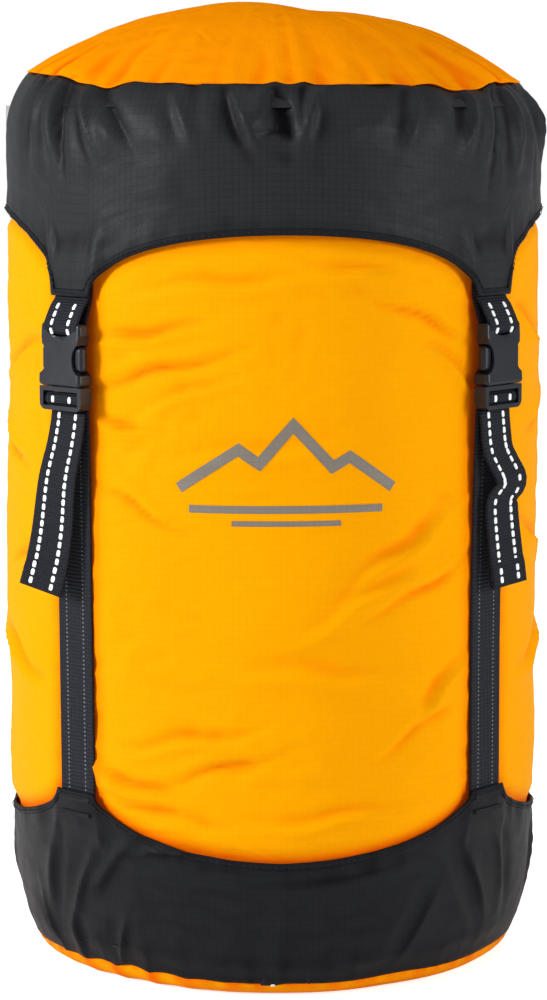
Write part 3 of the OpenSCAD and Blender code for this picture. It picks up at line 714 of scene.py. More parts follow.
def makeTube():
    def place(angle, t):
        z = baseSeamZ + (tubeTopZ - baseSeamZ) * t
        r = tubeRadius(angle, z)
        close = smooth((z - tubeTopZ + 14 * mm) / (14 * mm))
        return around(angle, r - 3.2 * mm * close, z)

    # painted shadow on the tube: a deeper tone along the base and lid skirts' edges and beside the straps below the
    # lid's tabs
    def paintedShade(angle, t):
        z = baseSeamZ + (tubeTopZ - baseSeamZ) * t
        nearBase = bell(z - baseEdge(angle), 3.5 * mm)
        nearLid = bell(z - lidEdge(angle), 4.5 * mm)
        middle, half = panelOf(angle)
        side = abs(abs(wrap(angle - middle)) - half) * tubeR - webbingW / 2
        nearStrap = bell(max(0, side), 4.5 * mm)
        nearStrap *= 1 - smooth((z - lidTabZ) / (12 * mm))
        return min(1.0, max(0.9 * nearBase, 0.35 * nearLid) + 0.6 * nearStrap)

    piece = sheetGrid("sackTube", 280, 190, place, paintedShade, cavity=(4, 2.4 * mm))
    thicken(piece, 0.5 * mm)
    dressed(piece, orangeCloth, None, "orange_cloth", "sack_tube")
    return piece


def upperHull(edge, width, up):
    # the line that lies a hem's width in from a scalloped edge
    samples = 720
    values = [edge(2 * math.pi * i / samples - math.pi) for i in range(samples)]
    step = 2 * math.pi * tubeR / samples
    reach = int(width / step)

    def line(angle):
        x = (wrap(angle) + math.pi) / (2 * math.pi) * samples
        i = int(x)
        best = None
        for k in range(-reach, reach + 2):
            off = (i + k - x) * step
            if abs(off) >= width:
                continue
            value = up * values[(i + k) % samples] + math.sqrt(width ** 2 - off ** 2)
            best = value if best is None else max(best, value)
        return up * best

    return line


skirts = {
    "base": {"radius": baseSkirtRadius, "edge": baseEdge, "seam": baseSeam, "up": -1, "rows": 46,
             "cloth": paintedShadeBaseCloth, "height": baseTabZ - baseSeamZ, "leftByScallops": 0.8},
    "lid": {"radius": lidSkirtRadius, "edge": lidEdge, "seam": lidSeam, "up": 1, "rows": 52,
            "cloth": darkCloth, "height": lidSeamZ - lidTabZ, "leftByScallops": 0.76},
}
for skirt in skirts.values():
    skirt["hemTop"] = upperHull(skirt["edge"], clothShape["hemWidth"], skirt["up"])
hemRows = 6


def makeSkirt(body):
    skirt = skirts[body]
    rows = skirt["rows"]
    lines = {}

    def place(angle, t):
        key = round(angle, 6)
        if key not in lines:
            lines[key] = (skirt["edge"](angle), skirt["hemTop"](angle), skirt["seam"](angle))
        edgeZ, hemZ, seamZ = lines[key]
        row = t * rows
        if row <= hemRows:
            z = edgeZ + (hemZ - edgeZ) * row / hemRows
        else:
            z = hemZ + (seamZ - hemZ) * (row - hemRows) / (rows - hemRows)
        return around(angle, skirt["radius"](angle, z), z)

    # painted shade on the skirt: darker next to the seam and along the hem's inner line
    def paintedShade(angle, t):
        row = t * rows
        return 0.45 * bell((rows - row) / rows, 0.05) + 0.25 * bell((row - hemRows - 1) / rows, 0.03)

    piece = sheetGrid(body + "Skirt", 480, rows, place, paintedShade)
    if skirt["up"] < 0:
        piece.data.flip_normals()
    thicken(piece, 0.45 * mm)
    dressed(piece, skirt["cloth"], body, "dark_cloth", body + "_skirt")


def makeHem(body):
    # the binding: a narrow band over the edge, turned in at the lip
    skirt = skirts[body]

    def place(angle, t):
        edgeZ, hemZ = skirt["edge"](angle), skirt["hemTop"](angle)
        z = edgeZ + (hemZ - edgeZ) * t
        lift = 0.32 * mm * min(1.0, t * 8 + 0.2) * (1.0 if t < 0.95 else 0.3)
        puff = 0.15 * mm * math.sin(math.pi * t)
        return around(angle, skirt["radius"](angle, z) + lift + puff, z)

    piece = sheetGrid(body + "Hem", 600, 8, place)
    if skirt["up"] < 0:
        piece.data.flip_normals()
    thicken(piece, 0.4 * mm)
    dressed(piece, bindingCloth, body, "binding", body + "_hem_tape")


stitch = {"pitch": 2.6 * mm, "length": 1.9 * mm, "width": 0.45 * mm, "height": 0.22 * mm,
          "inset": 1.6 * mm, "lift": 0.75 * mm, "samples": 720}


def makeHemStitches(body):
    # short raised stitches laid end to end along the hem
    skirt = skirts[body]
    curve = []
    for i in range(stitch["samples"]):
        angle = 2 * math.pi * i / stitch["samples"] - math.pi
        z = skirt["hemTop"](angle) - skirt["up"] * stitch["inset"]
        curve.append((around(angle, skirt["radius"](angle, z) + stitch["lift"], z), outward(angle)))
    bm = bmesh.new()
    carried = 0.0
    for i, (a, normal) in enumerate(curve):
        b = curve[(i + 1) % len(curve)][0]
        run = (b - a).length
        while carried < run:
            centre = a.lerp(b, carried / run)
            direction = (b - a).normalized()
            side = direction.cross(normal).normalized()
            ring = []
            for along, rise in ((-0.5, 0.1), (-0.3, 1.0), (0.3, 1.0), (0.5, 0.1)):
                base = centre + direction * stitch["length"] * along
                corner = [(-1, 0), (-0.6, rise), (0.6, rise), (1, 0)]
                ring.append([bm.verts.new(base + side * stitch["width"] * w * 0.5
                                          + normal * stitch["height"] * h) for w, h in corner])
            for k in range(3):
                for m in range(4):
                    n = (m + 1) % 4
                    bm.faces.new((ring[k][m], ring[k][n], ring[k + 1][n], ring[k + 1][m]))
            bm.faces.new(ring[0][::-1])
            bm.faces.new(ring[3])
            carried += stitch["pitch"]
        carried -= run
    bmesh.ops.recalc_face_normals(bm, faces=bm.faces)
    dressed(fromBmesh(body + "HemStitches", bm), stitchThread, body, "thread")


lidShape = {"power": 2.6, "rings": 70, "sectors": 340}


def lidPoint(angle, t):
    # t runs from the seam, 0, to the middle of the top, 1
    seamZ = lidSeam(angle)
    w = t * math.pi / 2
    share = math.cos(w)
    r = (seamR + 0.2 * mm) * share
    rise = lidTopZ - lidSeamZ - 1.5 * mm
    z = seamZ * share ** 3 + lidSeamZ * (1 - share ** 3) + rise * (1 - share ** lidShape["power"])
    q = outward(angle) * r
    # gathers that run in from the seam, and slack across the top
    gather = ridged(math.cos(angle) * 6.5, math.sin(angle) * 6.5, 1.5 + t * 0.7)
    small = ridged(math.cos(angle) * 15, math.sin(angle) * 15, 4.5 + t)
    pull = smooth(0.5 + 1.2 * billow(math.cos(angle) * 1.6, math.sin(angle) * 1.6, 3.3))
    pull = 0.35 + 0.65 * pull
    fade = math.exp(-t / 0.34)
    lift = 3.0 * mm * gather * pull * fade * smooth(t / 0.06) + 0.8 * mm * small * fade * math.exp(-t / 0.2)
    lift += 1.6 * mm * billow(q.x / (36 * mm), q.y / (36 * mm), 2.2) * smooth(t / 0.2)
    lift += 0.35 * mm * ridged(q.x / (13 * mm), q.y / (13 * mm), 7.1)
    lift -= 2.2 * mm * bell((q - Vector((24 * mm, -10 * mm, 0))).length, 22 * mm)
    lift += 1.2 * mm * bell((q - Vector((-12 * mm, -12 * mm, 0))).length, 26 * mm)
    for side in (-1, 1):
        for turn, size in ((46, 2.6), (56, 2.0), (66, 1.6)):
            s = wrap(angle - math.radians(side * turn + 12 * (1 - t) * side)) * r
            lift += size * mm * bell(s, 4.5 * mm) * bell(t - 0.2, 0.2)
    normal = Vector((0, 0, 1))
    if r > 1e-6:
        normal = Vector((q.x, q.y, 0)).normalized() * math.cos(w) + Vector((0, 0, math.sin(w)))
    return Vector((q.x, q.y, z)) + normal * lift


def makeLid():
    # painted shade on the lid: darker next to its seam
    piece = sheetGrid("lidPanel", lidShape["sectors"], lidShape["rings"], lambda a, t: lidPoint(a, t * 0.985),
                      lambda a, t: 0.5 * bell(t, 0.04), capped=True)
    thicken(piece, 0.45 * mm)
    dressed(piece, lidCloth, "lid", "orange_cloth", "lid_panel")


# gathered collar and neck under the lid; the shoulder is its share of the whole height
collar = {"pleats": 17, "shoulder": 0.7, "pleatHeight": 2.6 * mm, "frill": 0.9 * mm, "clothLeft": 0.62}


def makeCollar():
    low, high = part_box("mouth_collar")
    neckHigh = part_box("mouth_neck")[1]
    footR, neckR = high.x - 0.9 * mm, neckHigh.x - 0.7 * mm
    cordZ = sum(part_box("drawcord_channel")[k].z for k in (0, 1)) / 2

    def place(angle, t):
        wander = 0.9 * noise.noise(outward(angle) * 2.3)
        pleat = 1 - 2 * abs(math.sin(collar["pleats"] * angle + 2 * wander)) ** 0.8
        if t < collar["shoulder"]:
            s = t / collar["shoulder"]
            r = footR + (neckR + 0.6 * mm - footR) * s
            z = low.z + 0.9 * mm + (high.z - low.z - 1.2 * mm) * (1 - (1 - s) ** 1.9)
            crumple = ridged(angle * 6, s * 5, 3.1) * 0.5 * mm
            height = collar["pleatHeight"] * smooth(s / 0.8) * (1 - 0.8 * smooth((s - 0.82) / 0.18))
            return around(angle, r, z + height * pleat * (0.6 + 0.4 * wander) + crumple * s * (1 - s) * 3)
        s = (t - collar["shoulder"]) / (1 - collar["shoulder"])
        z = high.z + (neckHigh.z - high.z) * s
        height = 0.2 * mm + collar["frill"] * smooth((z - cordZ - 3.5 * mm) / (5 * mm))
        return around(angle, neckR + height * pleat, z)

    # painted shade on the collar: darker at its shoulder and at its foot
    def paintedShade(angle, t):
        return 0.5 * bell(t - collar["shoulder"], 0.03) + 0.4 * bell(t, 0.03)

    piece = sheetGrid("mouthCollar", 340, 60, place, paintedShade, cavity=(2, 0.8 * mm))
    thicken(piece, 0.5 * mm)
    dressed(piece, orangeCloth, "crown", "orange_cloth", "mouth_collar", "mouth_neck")


baseShape = {
    "rimShare": 0.42,           # the share of the disc's profile that is its rounded rim
    "underside": 0.2 * mm,
    "groove": 1.3 * mm,         # room for the handle across the underside
}


def makeBaseDisc():
    rim, underside = baseShape["rimShare"], baseShape["underside"]

    def profile(t):
        # seam, rounded rim, flat underside
        if t < rim:
            w = t / rim * math.pi / 2
            return flatR + (seamR - flatR) * math.cos(w), baseSeamZ - (baseSeamZ - underside) * math.sin(w)
        return flatR * (1 - (t - rim) / (1 - rim) * 0.985), underside

    def place(angle, t):
        r, z = profile(t)
        q = outward(angle) * tubeR
        r += 0.7 * mm * ridged(q.x / (8 * mm), q.y / (8 * mm), 2.7) * math.exp(-t / 0.12)
        z = z + (baseSeam(angle) - baseSeamZ) * max(0.0, 1 - t / rim)
        if abs(outward(angle).x * r) < webbingW / 2 + 0.4 * mm and t > 0.3:
            z += baseShape["groove"]
        return around(angle, r, max(z, underside))

    # painted shade on the base: darker next to its seam
    piece = sheetGrid("baseDisc", 320, 60, place, lambda a, t: 0.4 * bell(t, 0.05), capped=True)
    piece.data.flip_normals()
    thicken(piece, 0.6 * mm)
    dressed(piece, orangeCloth, "base", "orange_cloth", "base_disc")


def curveThrough(points, step):
    # smooth line through given points, sampled at an even step
    padded = [points[0] * 2 - points[1], *points, points[-1] * 2 - points[-2]]
    dense = []
    for i in range(1, len(padded) - 2):
        p0, p1, p2, p3 = padded[i - 1:i + 3]
        for k in range(24):
            t = k / 24
            dense.append(0.5 * (2 * p1 + (p2 - p0) * t + (2 * p0 - 5 * p1 + 4 * p2 - p3) * t * t
                                + (3 * p1 - p0 - 3 * p2 + p3) * t ** 3))
    dense.append(points[-1].copy())
    line = [dense[0]]
    carried = 0.0
    for a, b in zip(dense, dense[1:]):
        carried += (b - a).length
        if carried >= step:
            line.append(b)
            carried = 0.0
    if (line[-1] - dense[-1]).length > step * 0.3:
        line.append(dense[-1])
    return line


def ribbonFrames(line, acrossStart, acrossEnd=None):
    frames = []
    length = 0.0
    for i, p in enumerate(line):
        ahead = line[min(i + 1, len(line) - 1)] - line[max(i - 1, 0)]
        direction = ahead.normalized()
        share = i / (len(line) - 1)
        side = acrossStart if acrossEnd is None else acrossStart.lerp(acrossEnd, smooth(share))
        side = (side - direction * side.dot(direction)).normalized()
        normal = side.cross(direction).normalized()
        if i:
            length += (p - line[i - 1]).length
        frames.append((p, direction, side, normal, length))
    return frames


# the pale dashes along the webbing, and how much thicker it is where its end is folded back
dash = {"pitch": 3.4 * mm, "length": 2.75 * mm, "width": 1.9 * mm, "rowPlace": 5 * mm, "sides": 12,
        "hemThick": 1.9}


def dashRow(start, stop):
    # places along a ribbon where its pale dashes lie
    return [start + k * dash["pitch"] for k in range(int((stop - start) / dash["pitch"]))]


def webbingRibbon(name, frames, width, thickness, material, dashes=(), dashSide=1, hem=0.0):
    # a strip with rounded edges; dashes are small raised pads of pale yarn in two rows
    bm = bmesh.new()
    uvLayer = bm.loops.layers.uv.new("UVMap")
    half, t = width / 2, thickness / 2
    total = frames[-1][4]
    section = [(-half, 0), (-half + 0.3 * mm, t), (-half + 1.2 * mm, t), (-half / 3, t * 0.94),
               (half / 3, t * 0.94), (half - 1.2 * mm, t), (half - 0.3 * mm, t), (half, 0)]
    section += [(x, -y) for x, y in section[-2:0:-1]]
    rings = []
    for p, direction, side, normal, length in frames:
        thick = dash["hemThick"] if total - length < hem else 1.0
        if hem and abs(total - length - hem) < 1.2 * mm:
            thick = 1.5
        rings.append([bm.verts.new(p + side * x + normal * (y * thick)) for x, y in section])
    count = len(section)
    for i in range(len(rings) - 1):
        for k in range(count):
            m = (k + 1) % count
            face = bm.faces.new((rings[i][k], rings[i][m], rings[i + 1][m], rings[i + 1][k]))
            face.smooth = True
            for loop, (ringIndex, spot) in zip(face.loops, ((i, k), (i, m), (i + 1, m), (i + 1, k))):
                loop[uvLayer].uv = (section[spot][0], frames[ringIndex][4])
    bm.faces.new(rings[0][::-1])
    bm.faces.new(rings[-1])
    sides = dash["sides"]
    for spot in dashes:
        if spot < total - 1.2 * mm:
            index = min(range(len(frames)), key=lambda i: abs(frames[i][4] - spot))
            p, direction, side, normal, length = frames[index]
            up = normal * dashSide
            lift = t * (dash["hemThick"] if total - length < hem else 1.0)
            for row in (-1, 1):
                centre = p + side * row * dash["rowPlace"] + normal * lift * dashSide
                centre += direction * (spot - length)
                top, low = [], []
                for k in range(sides):
                    w = 2 * math.pi * k / sides
                    x = math.copysign(abs(math.cos(w)) ** 0.6, math.cos(w)) * dash["width"] / 2
                    y = math.copysign(abs(math.sin(w)) ** 0.6, math.sin(w)) * dash["length"] / 2
                    low.append(bm.verts.new(centre + side * x + direction * y - up * 0.1 * mm))
                    top.append(bm.verts.new(centre + side * x * 0.86 + direction * y * 0.9 + up * 0.14 * mm))
                made = [bm.faces.new(top), bm.faces.new(low[::-1])]
                for k in range(sides):
                    m = (k + 1) % sides
                    made.append(bm.faces.new((low[k], low[m], top[m], top[k])))
                for face in made:
                    face.material_index = 1
    bmesh.ops.recalc_face_normals(bm, faces=bm.faces)
    piece = fromBmesh(name, bm)
    piece.data.materials.append(material)
    piece.data.materials.append(reflective)
    return piece


# sizes of a side-release buckle, in millimetres, up from the male half's foot
buckle = {
    "width": 25.0, "length": 35.0, "maleLength": 9.4, "thickness": 7.6, "frameThickness": 5.6,
    "slot": 20.6, "bar": 32.4, "waistZ": 25.6, "windowZ": 20.6, "armX": 9.7, "armZ": 20.5,
}


def strapPath(corner, spots):
    # points by a strap, given along the surface, outward from the sack's axis and up
    angle = strapAngle[corner]
    return [outward(angle) * v - along(angle) * u + Vector((0, 0, z)) for u, v, z in spots]


# how each tail hangs: places down it as (drop, to the viewer's right, outward) in mm, and its end's turn
tailHang = {
    "fl": {"path": [(5, -0.2, 0.5), (13.6, -1.1, 1.6), (27.6, -2.9, 4), (47.6, -4.9, 5), (62, -6.8, 6.6),
                    (71.6, -8.7, 8)], "turn": 0.30},
    "fr": {"path": [(5, 0, 0.4), (15, 0.7, 1.2), (21, 2.4, 3.0), (27, 4.3, 5.2), (31, 4.2, 5.0),
                    (36, 2.3, 2.7), (44, 2.2, 2.8), (58, 3.0, 4.0), (70.5, 4.0, 5.0)], "turn": -0.12},
    "br": {"path": [(5, 0, 0.6), (22, 2, 4), (40, 4, 5), (58, 5, 4), (74, 7, 5)], "turn": -0.2},
    "bl": {"path": [(5, 0, 0.6), (22, -2, 4), (40, -4, 6), (58, -4, 5), (74, -6, 6)], "turn": 0.2},
}


def makeStraps():
    gap, lift = clothShape["gap"], 0.6 * mm
    lowR, highR = tubeR + gap, buckleR - 3.5 * mm
    frontV, tailV = buckleR + 1.8 * mm, buckleR - 1.8 * mm
    for corner in corners:
        angle = strapAngle[corner]
        side = -along(angle)
        # load strap: from under the base tab up to the buckle's foot
        low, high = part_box("load_strap_" + corner)
        points = strapPath(corner, [
            (0, lowR, low.z), (0, lowR + 0.2 * mm, baseTabZ + 2 * mm),
            (0.5 * mm, lowR + 0.6 * mm, (baseTabZ + high.z) / 2),
            (0, highR - 0.4 * mm, high.z - 10 * mm), (0, highR, high.z)])
        frames = ribbonFrames(curveThrough(points, 1.5 * mm), side)
        piece = webbingRibbon("loadStrap_" + corner, frames, webbingW, webbingT, webbingBack)
        dressed(piece, None, "base", "webbing", "load_strap_" + corner)
        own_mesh(piece)
        # the wrap round the ladder bars keeps its section from the frame
        wrapLow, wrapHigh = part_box("strap_wrap_" + corner)
        overZ = wrapHigh.z - lift
        points = strapPath(corner, [
            (0, highR, wrapLow.z), (0, highR, overZ - 2.2 * mm), (0, highR + 1.2 * mm, overZ - 0.2 * mm),
            (0, frontV - 1.2 * mm, overZ), (0, frontV, overZ - 2.0 * mm),
            (0, frontV - 0.9 * mm, overZ - 4.0 * mm), (0, tailV + 0.4 * mm, overZ - 5.0 * mm), (0, tailV, wrapLow.z)])
        frames = ribbonFrames(curveThrough(points, 0.7 * mm), side)
        front = max(frames, key=lambda f: f[0].dot(outward(angle)))[4]
        piece = webbingRibbon("strapWrap_" + corner, frames, webbingW - 0.4 * mm, 1.0 * mm, webbingFace,
                              [front])
        dressed(piece, None, "buckle_" + corner, "webbing", "strap_wrap_" + corner)
        # loose tail
        hang = tailHang[corner]
        top = wrapLow.z - lift
        spots = [(-right * mm, tailV + out * mm, top - drop * mm) for drop, right, out in hang["path"]]
        points = strapPath(corner, [(0, tailV, top), *spots])
        turned = side.copy()
        turned.rotate(Matrix.Rotation(hang["turn"], 3, "Z"))
        frames = ribbonFrames(curveThrough(points, 1.5 * mm), side, turned)
        piece = webbingRibbon("tail_" + corner, frames, webbingW, webbingT, webbingFace,
                              dashRow(2.0 * mm, 0.12), 1, 9 * mm)
        dressed(piece, None, "tail_" + corner, "webbing", "tail_" + corner)
        # short loop from the lid tab round the buckle's bar
        barZ = buckleZ + buckle["bar"] * mm
        frontR = lowR + 1.4 * mm
        points = strapPath(corner, [
            (0, lowR, lidTabZ + 11 * mm), (0, lowR, lidTabZ + 1 * mm), (0, lowR + 1.2 * mm, lidTabZ - 4 * mm),
            (0, buckleR - 2.3 * mm, barZ + 1 * mm), (0, buckleR - 1.5 * mm, barZ - 1.7 * mm),
            (0, buckleR + 0.2 * mm, barZ - 2.3 * mm), (0, buckleR + 2.0 * mm, barZ - 1.0 * mm),
            (0, buckleR + 2.3 * mm, barZ + 1.2 * mm), (0, frontR + 3.2 * mm, lidTabZ - 4.5 * mm),
            (0, frontR, lidTabZ + 0.5 * mm), (0, frontR, lidTabZ + 11 * mm)])
        frames = ribbonFrames(curveThrough(points, 1.0 * mm), side)
        foot = min(frames, key=lambda f: f[0].z)[4]
        piece = webbingRibbon("upperLoop_" + corner, frames, webbingW, webbingT, webbingFace,
                              dashRow(foot + 2.6 * mm, foot + 18 * mm), -1)
        dressed(piece, None, "lid", "webbing", "upper_loop_" + corner)


handle = {"rimGap": 0.6 * mm, "middleZ": 0.65 * mm, "dash": 3.9 * mm}


def makeHandle():
    # one strip under the base from the front rim to the back rim
    half = []
    for turn in (4, 24, 44, 64, 84):
        w = math.radians(turn)
        half.append((flatR + (seamR + handle["rimGap"] - flatR) * math.cos(w),
                     baseSeamZ - (baseSeamZ - handle["middleZ"]) * math.sin(w)))
    half.append((flatR - 16 * mm, handle["middleZ"]))
    points = [Vector((0, -r, z)) for r, z in half] + [Vector((0, r, z)) for r, z in reversed(half)]
    frames = ribbonFrames(curveThrough(points, 1.2 * mm), Vector((1, 0, 0)))
    piece = webbingRibbon("grabHandle", frames, webbingW, webbingT, webbingFace, [handle["dash"]], -1)
    dressed(piece, None, "base", "webbing", "grab_handle")
    print("handle length", round(frames[-1][4], 4))


def block(name, size, centre, bevelWidth=0.0, segments=3):
    # a box in millimetres, its edges rounded in edit mode
    clean()
    bpy.ops.mesh.primitive_cube_add(size=1, location=Vector(centre) * mm)
    piece = bpy.context.object
    piece.name = name
    piece.scale = Vector(size) * mm
    bpy.ops.object.transform_apply(location=True, rotation=True, scale=True)
    if bevelWidth:
        bpy.ops.object.mode_set(mode="EDIT")
        bpy.ops.mesh.select_all(action="SELECT")
        bpy.ops.mesh.bevel(offset=bevelWidth * mm, segments=segments, profile=0.5, affect="EDGES")
        bpy.ops.object.mode_set(mode="OBJECT")
    return piece


def rod(name, radius, length, centre, axis, vertices=32, stretch=(1, 1)):
    # a cylinder in millimetres along x, y or z; stretch scales its section
    clean()
    turn = {"x": (0, math.pi / 2, 0), "y": (math.pi / 2, 0, 0), "z": (0, 0, 0)}[axis]
    bpy.ops.mesh.primitive_cylinder_add(vertices=vertices, radius=radius * mm, depth=length * mm,
                                        location=Vector(centre) * mm, rotation=turn)
    piece = bpy.context.object
    piece.name = name
    if stretch != (1, 1):
        bpy.ops.object.transform_apply(location=False, rotation=True, scale=False)
        piece.scale = (stretch[0], 1, stretch[1])
    bpy.ops.object.transform_apply(location=True, rotation=True, scale=True)
    return piece


def ball(name, radius, centre):
    clean()
    bpy.ops.mesh.primitive_uv_sphere_add(segments=64, ring_count=32, radius=radius * mm,
                                         location=Vector(centre) * mm)
    piece = bpy.context.object
    piece.name = name
    bpy.ops.object.transform_apply(location=True, rotation=True, scale=True)
    return piece


def cut(piece, *tools, join=False):
    for tool in tools:
        modifier = piece.modifiers.new("shape", "BOOLEAN")
        modifier.operation = "UNION" if join else "DIFFERENCE"
        modifier.solver = "EXACT"
        modifier.object = tool
        only(piece)
        bpy.ops.object.modifier_apply(modifier=modifier.name)
        bpy.data.objects.remove(tool)
    return piece


def rounded(piece, width, segments, angle=32):
    modifier = piece.modifiers.new("edges", "BEVEL")
    modifier.width = width * mm
    modifier.segments = segments
    modifier.limit_method = "ANGLE"
    modifier.angle_limit = math.radians(angle)
    modifier.use_clamp_overlap = True
    only(piece)
    bpy.ops.object.modifier_apply(modifier=modifier.name)
    bpy.ops.object.shade_smooth_by_angle(angle=math.radians(50))
    even = piece.modifiers.new("faces", "WEIGHTED_NORMAL")
    even.keep_sharp = True
    bpy.ops.object.modifier_apply(modifier=even.name)
    return piece


def selectOnly(piece, kind, chosen):
    # into edit mode, with only the vertices or edges that pass the test selected
    only(piece)
    bpy.ops.object.mode_set(mode="EDIT")
    bpy.ops.mesh.select_mode(type=kind)
    bpy.ops.mesh.select_all(action="DESELECT")
    bm = bmesh.from_edit_mesh(piece.data)
    for element in (bm.verts if kind == "VERT" else bm.edges):
        if chosen(element):
            element.select_set(True)
    bmesh.update_edit_mesh(piece.data)


def femaleMaster():
    # body with a waist, two horns for the bar, a hollowed top edge and an opening for each arm's pad
    b = buckle
    low = b["maleLength"] + 0.3
    tall = b["length"] - 0.4 - low
    piece = block("femaleMaster", (b["width"], b["thickness"], tall), (0, 0, low + tall / 2), 1.6, 6)
    selectOnly(piece, "VERT", lambda vert: vert.co.z > (low + tall / 2) * mm)
    bpy.ops.transform.resize(value=(0.93, 0.72, 1), center_override=(0, 0, 0))
    bpy.ops.object.mode_set(mode="OBJECT")
    for side in (-1, 1):
        cut(piece, rod("waist", 1, 20, (side * (b["width"] / 2 + 7.5), 0, b["waistZ"]), "y", 96, (9.6, 8.6)))
        edge = side * (b["width"] / 2 + 0.1)
        cut(piece, rod("window", 1, 20, (edge, 0, b["windowZ"]), "y", 64, (4.9, 6.3)))
    cut(piece, block("cavity", (21.0, 4.4, 18.6), (0, 0, 16.7), 0.4, 2))
    cut(piece, rod("smile", 1, 20, (0, 0, 35.6), "y", 96, (10.6, 6.4)))
    for face in (-1, 1):
        cut(piece, ball("scoop", 14.0, (0, face * 14.8, 35.2)))
    cut(piece, rod("bar", 1.35, 21.6, (0, 0, b["bar"]), "x", 32), join=True)
    return rounded(piece, 0.7, 4, 30)


def maleMaster():
    b = buckle
    size = (b["width"], b["frameThickness"], b["maleLength"])
    piece = block("maleMaster", size, (0, 0, b["maleLength"] / 2))
    # the two lower corners are well rounded
    selectOnly(piece, "EDGE", lambda edge: max(vert.co.z for vert in edge.verts) < 0.1 * mm
               and abs(edge.verts[0].co.x - edge.verts[1].co.x) < 1e-6)
    bpy.ops.mesh.bevel(offset=3.2 * mm, segments=6, affect="EDGES")
    bpy.ops.object.mode_set(mode="OBJECT")
    half = b["frameThickness"] / 2
    cut(piece, block("window", (b["slot"], 12, 5.8), (0, 0, 4.7), 0.3, 2))
    cut(piece, block("foot", (b["slot"], 6, 3), (0, -half - 1.1, 0.6)))
    cut(piece, block("midBar", (b["slot"] + 1, 3.5, 1.8), (0, -0.85, 4.6), 0.6, 3), join=True)
    cut(piece, block("tongue", (5.2, 2.8, 11), (0, 0, b["maleLength"] + 4.6), 0.6, 2), join=True)
    return rounded(piece, 0.4, 3)


def armMaster(side):
    piece = block("armMaster", (4.7, 4.2, 10.2), (side * buckle["armX"], 0, buckle["armZ"]), 1.7, 6)
    cut(piece, block("neck", (1.7, 3.6, 13.5), (side * 7.2, 0, 15.0), 0.5, 2), join=True)
    return rounded(piece, 0.25, 2)


def copyTo(master, name, corner):
    piece = master.copy()
    piece.data = master.data.copy()
    piece.name = name
    bpy.context.scene.collection.objects.link(piece)
    angle = strapAngle[corner]
    turn = Matrix.Rotation(angle + math.pi, 4, "Z")
    piece.data.transform(turn @ Matrix.Translation(Vector((0, buckleR, buckleZ))))
    return piece


def makeBuckles():
    # one master of each moulding, then the names of its copies, their bodies and CAD nodes; # is the corner
    masters = (
        (femaleMaster(), "female_half_#", "lid", "female_#"),
        (maleMaster(), "male_half_#", "buckle_#", "male_frame_#"),
        (armMaster(1), "pinchArm_#_l", "arm_#_l", "arm_#_l"),
        (armMaster(-1), "pinchArm_#_r", "arm_#_r", "arm_#_r"),
    )
    for corner in corners:
        for master, *names in masters:
            name, body, node = (text.replace("#", corner) for text in names)
            dressed(copyTo(master, name, corner), bucklePlastic, body, "buckle_plastic", node)
    for master, *names in masters:
        bpy.data.objects.remove(master)


# a plain peak outline over two bars, in grey ink
emblem = {"middleZ": 205 * mm, "width": 84 * mm, "peakHeight": 25 * mm, "line": 4.2 * mm,
          "barHeight": 3.0 * mm, "barDrop": 8 * mm, "lowBarDrop": 13.5 * mm, "grid": 1.6 * mm, "lift": 0.2 * mm}


def stroke(points, thickness):
    # closed quads of an even, mitred line
    points = [Vector(p) for p in points]
    left, right = [], []
    for i, p in enumerate(points):
        a = (p - points[i - 1]).normalized() if i else (points[1] - p).normalized()
        b = (points[i + 1] - p).normalized() if i < len(points) - 1 else a
        normal = Vector((-(a + b).y, (a + b).x)).normalized()
        reach = thickness / 2 / max(0.5, normal.dot(Vector((-a.y, a.x))))
        left.append(p + normal * reach)
        right.append(p - normal * reach)
    return [[right[i], right[i + 1], left[i + 1], left[i]] for i in range(len(points) - 1)]


def emblemParts():
    e = emblem
    w, h = e["width"] / 2, e["peakHeight"]
    parts = stroke([(-w, 0), (-w * 0.44, h * 0.62), (-w * 0.25, h * 0.40), (w * 0.06, h),
                    (w * 0.42, h * 0.34), (w * 0.58, h * 0.50), (w, 0)], e["line"])
    parts += stroke([(-w * 0.9, -e["barDrop"]), (w * 0.9, -e["barDrop"])], e["barHeight"])
    parts += stroke([(-w * 0.5, -e["lowBarDrop"]), (w * 0.5, -e["lowBarDrop"])], e["barHeight"] * 0.7)
    return parts


def makeEmblem(tube):
    bm = bmesh.new()
    for part in emblemParts():
        bm.faces.new([bm.verts.new((p.x, 0, emblem["middleZ"] + p.y)) for p in part])
    bmesh.ops.remove_doubles(bm, verts=bm.verts, dist=0.01 * mm)
    for axis, low, high in ((0, -0.06, 0.06), (2, emblem["middleZ"] - 0.02, emblem["middleZ"] + 0.04)):
        count = int((high - low) / emblem["grid"])
        for k in range(count):
            place, normal = Vector((0, 0, 0)), Vector((0, 0, 0))
            place[axis], normal[axis] = low + (high - low) * k / count, 1
            whole = bm.verts[:] + bm.edges[:] + bm.faces[:]
            bmesh.ops.bisect_plane(bm, geom=whole, plane_co=place, plane_no=normal)
    uvLayer = bm.loops.layers.uv.new("UVMap")
    for face in bm.faces:
        for loop in face.loops:
            loop[uvLayer].uv = (loop.vert.co.x, loop.vert.co.z)
    cloth = BVHTree.FromObject(tube, bpy.context.evaluated_depsgraph_get())
    for vert in bm.verts:
        angle = vert.co.x / tubeR
        start = around(angle, tubeR + 30 * mm, vert.co.z)
        hit = cloth.ray_cast(start, -outward(angle))[0]
        vert.co = hit + outward(angle) * emblem["lift"]
    bmesh.ops.recalc_face_normals(bm, faces=bm.faces)
    if sum(face.normal.y for face in bm.faces) > 0:
        bmesh.ops.reverse_faces(bm, faces=bm.faces)
    piece = fromBmesh("emblem", bm)
    piece.data.shade_smooth()
    dressed(piece, emblemInk, None, "orange_cloth")


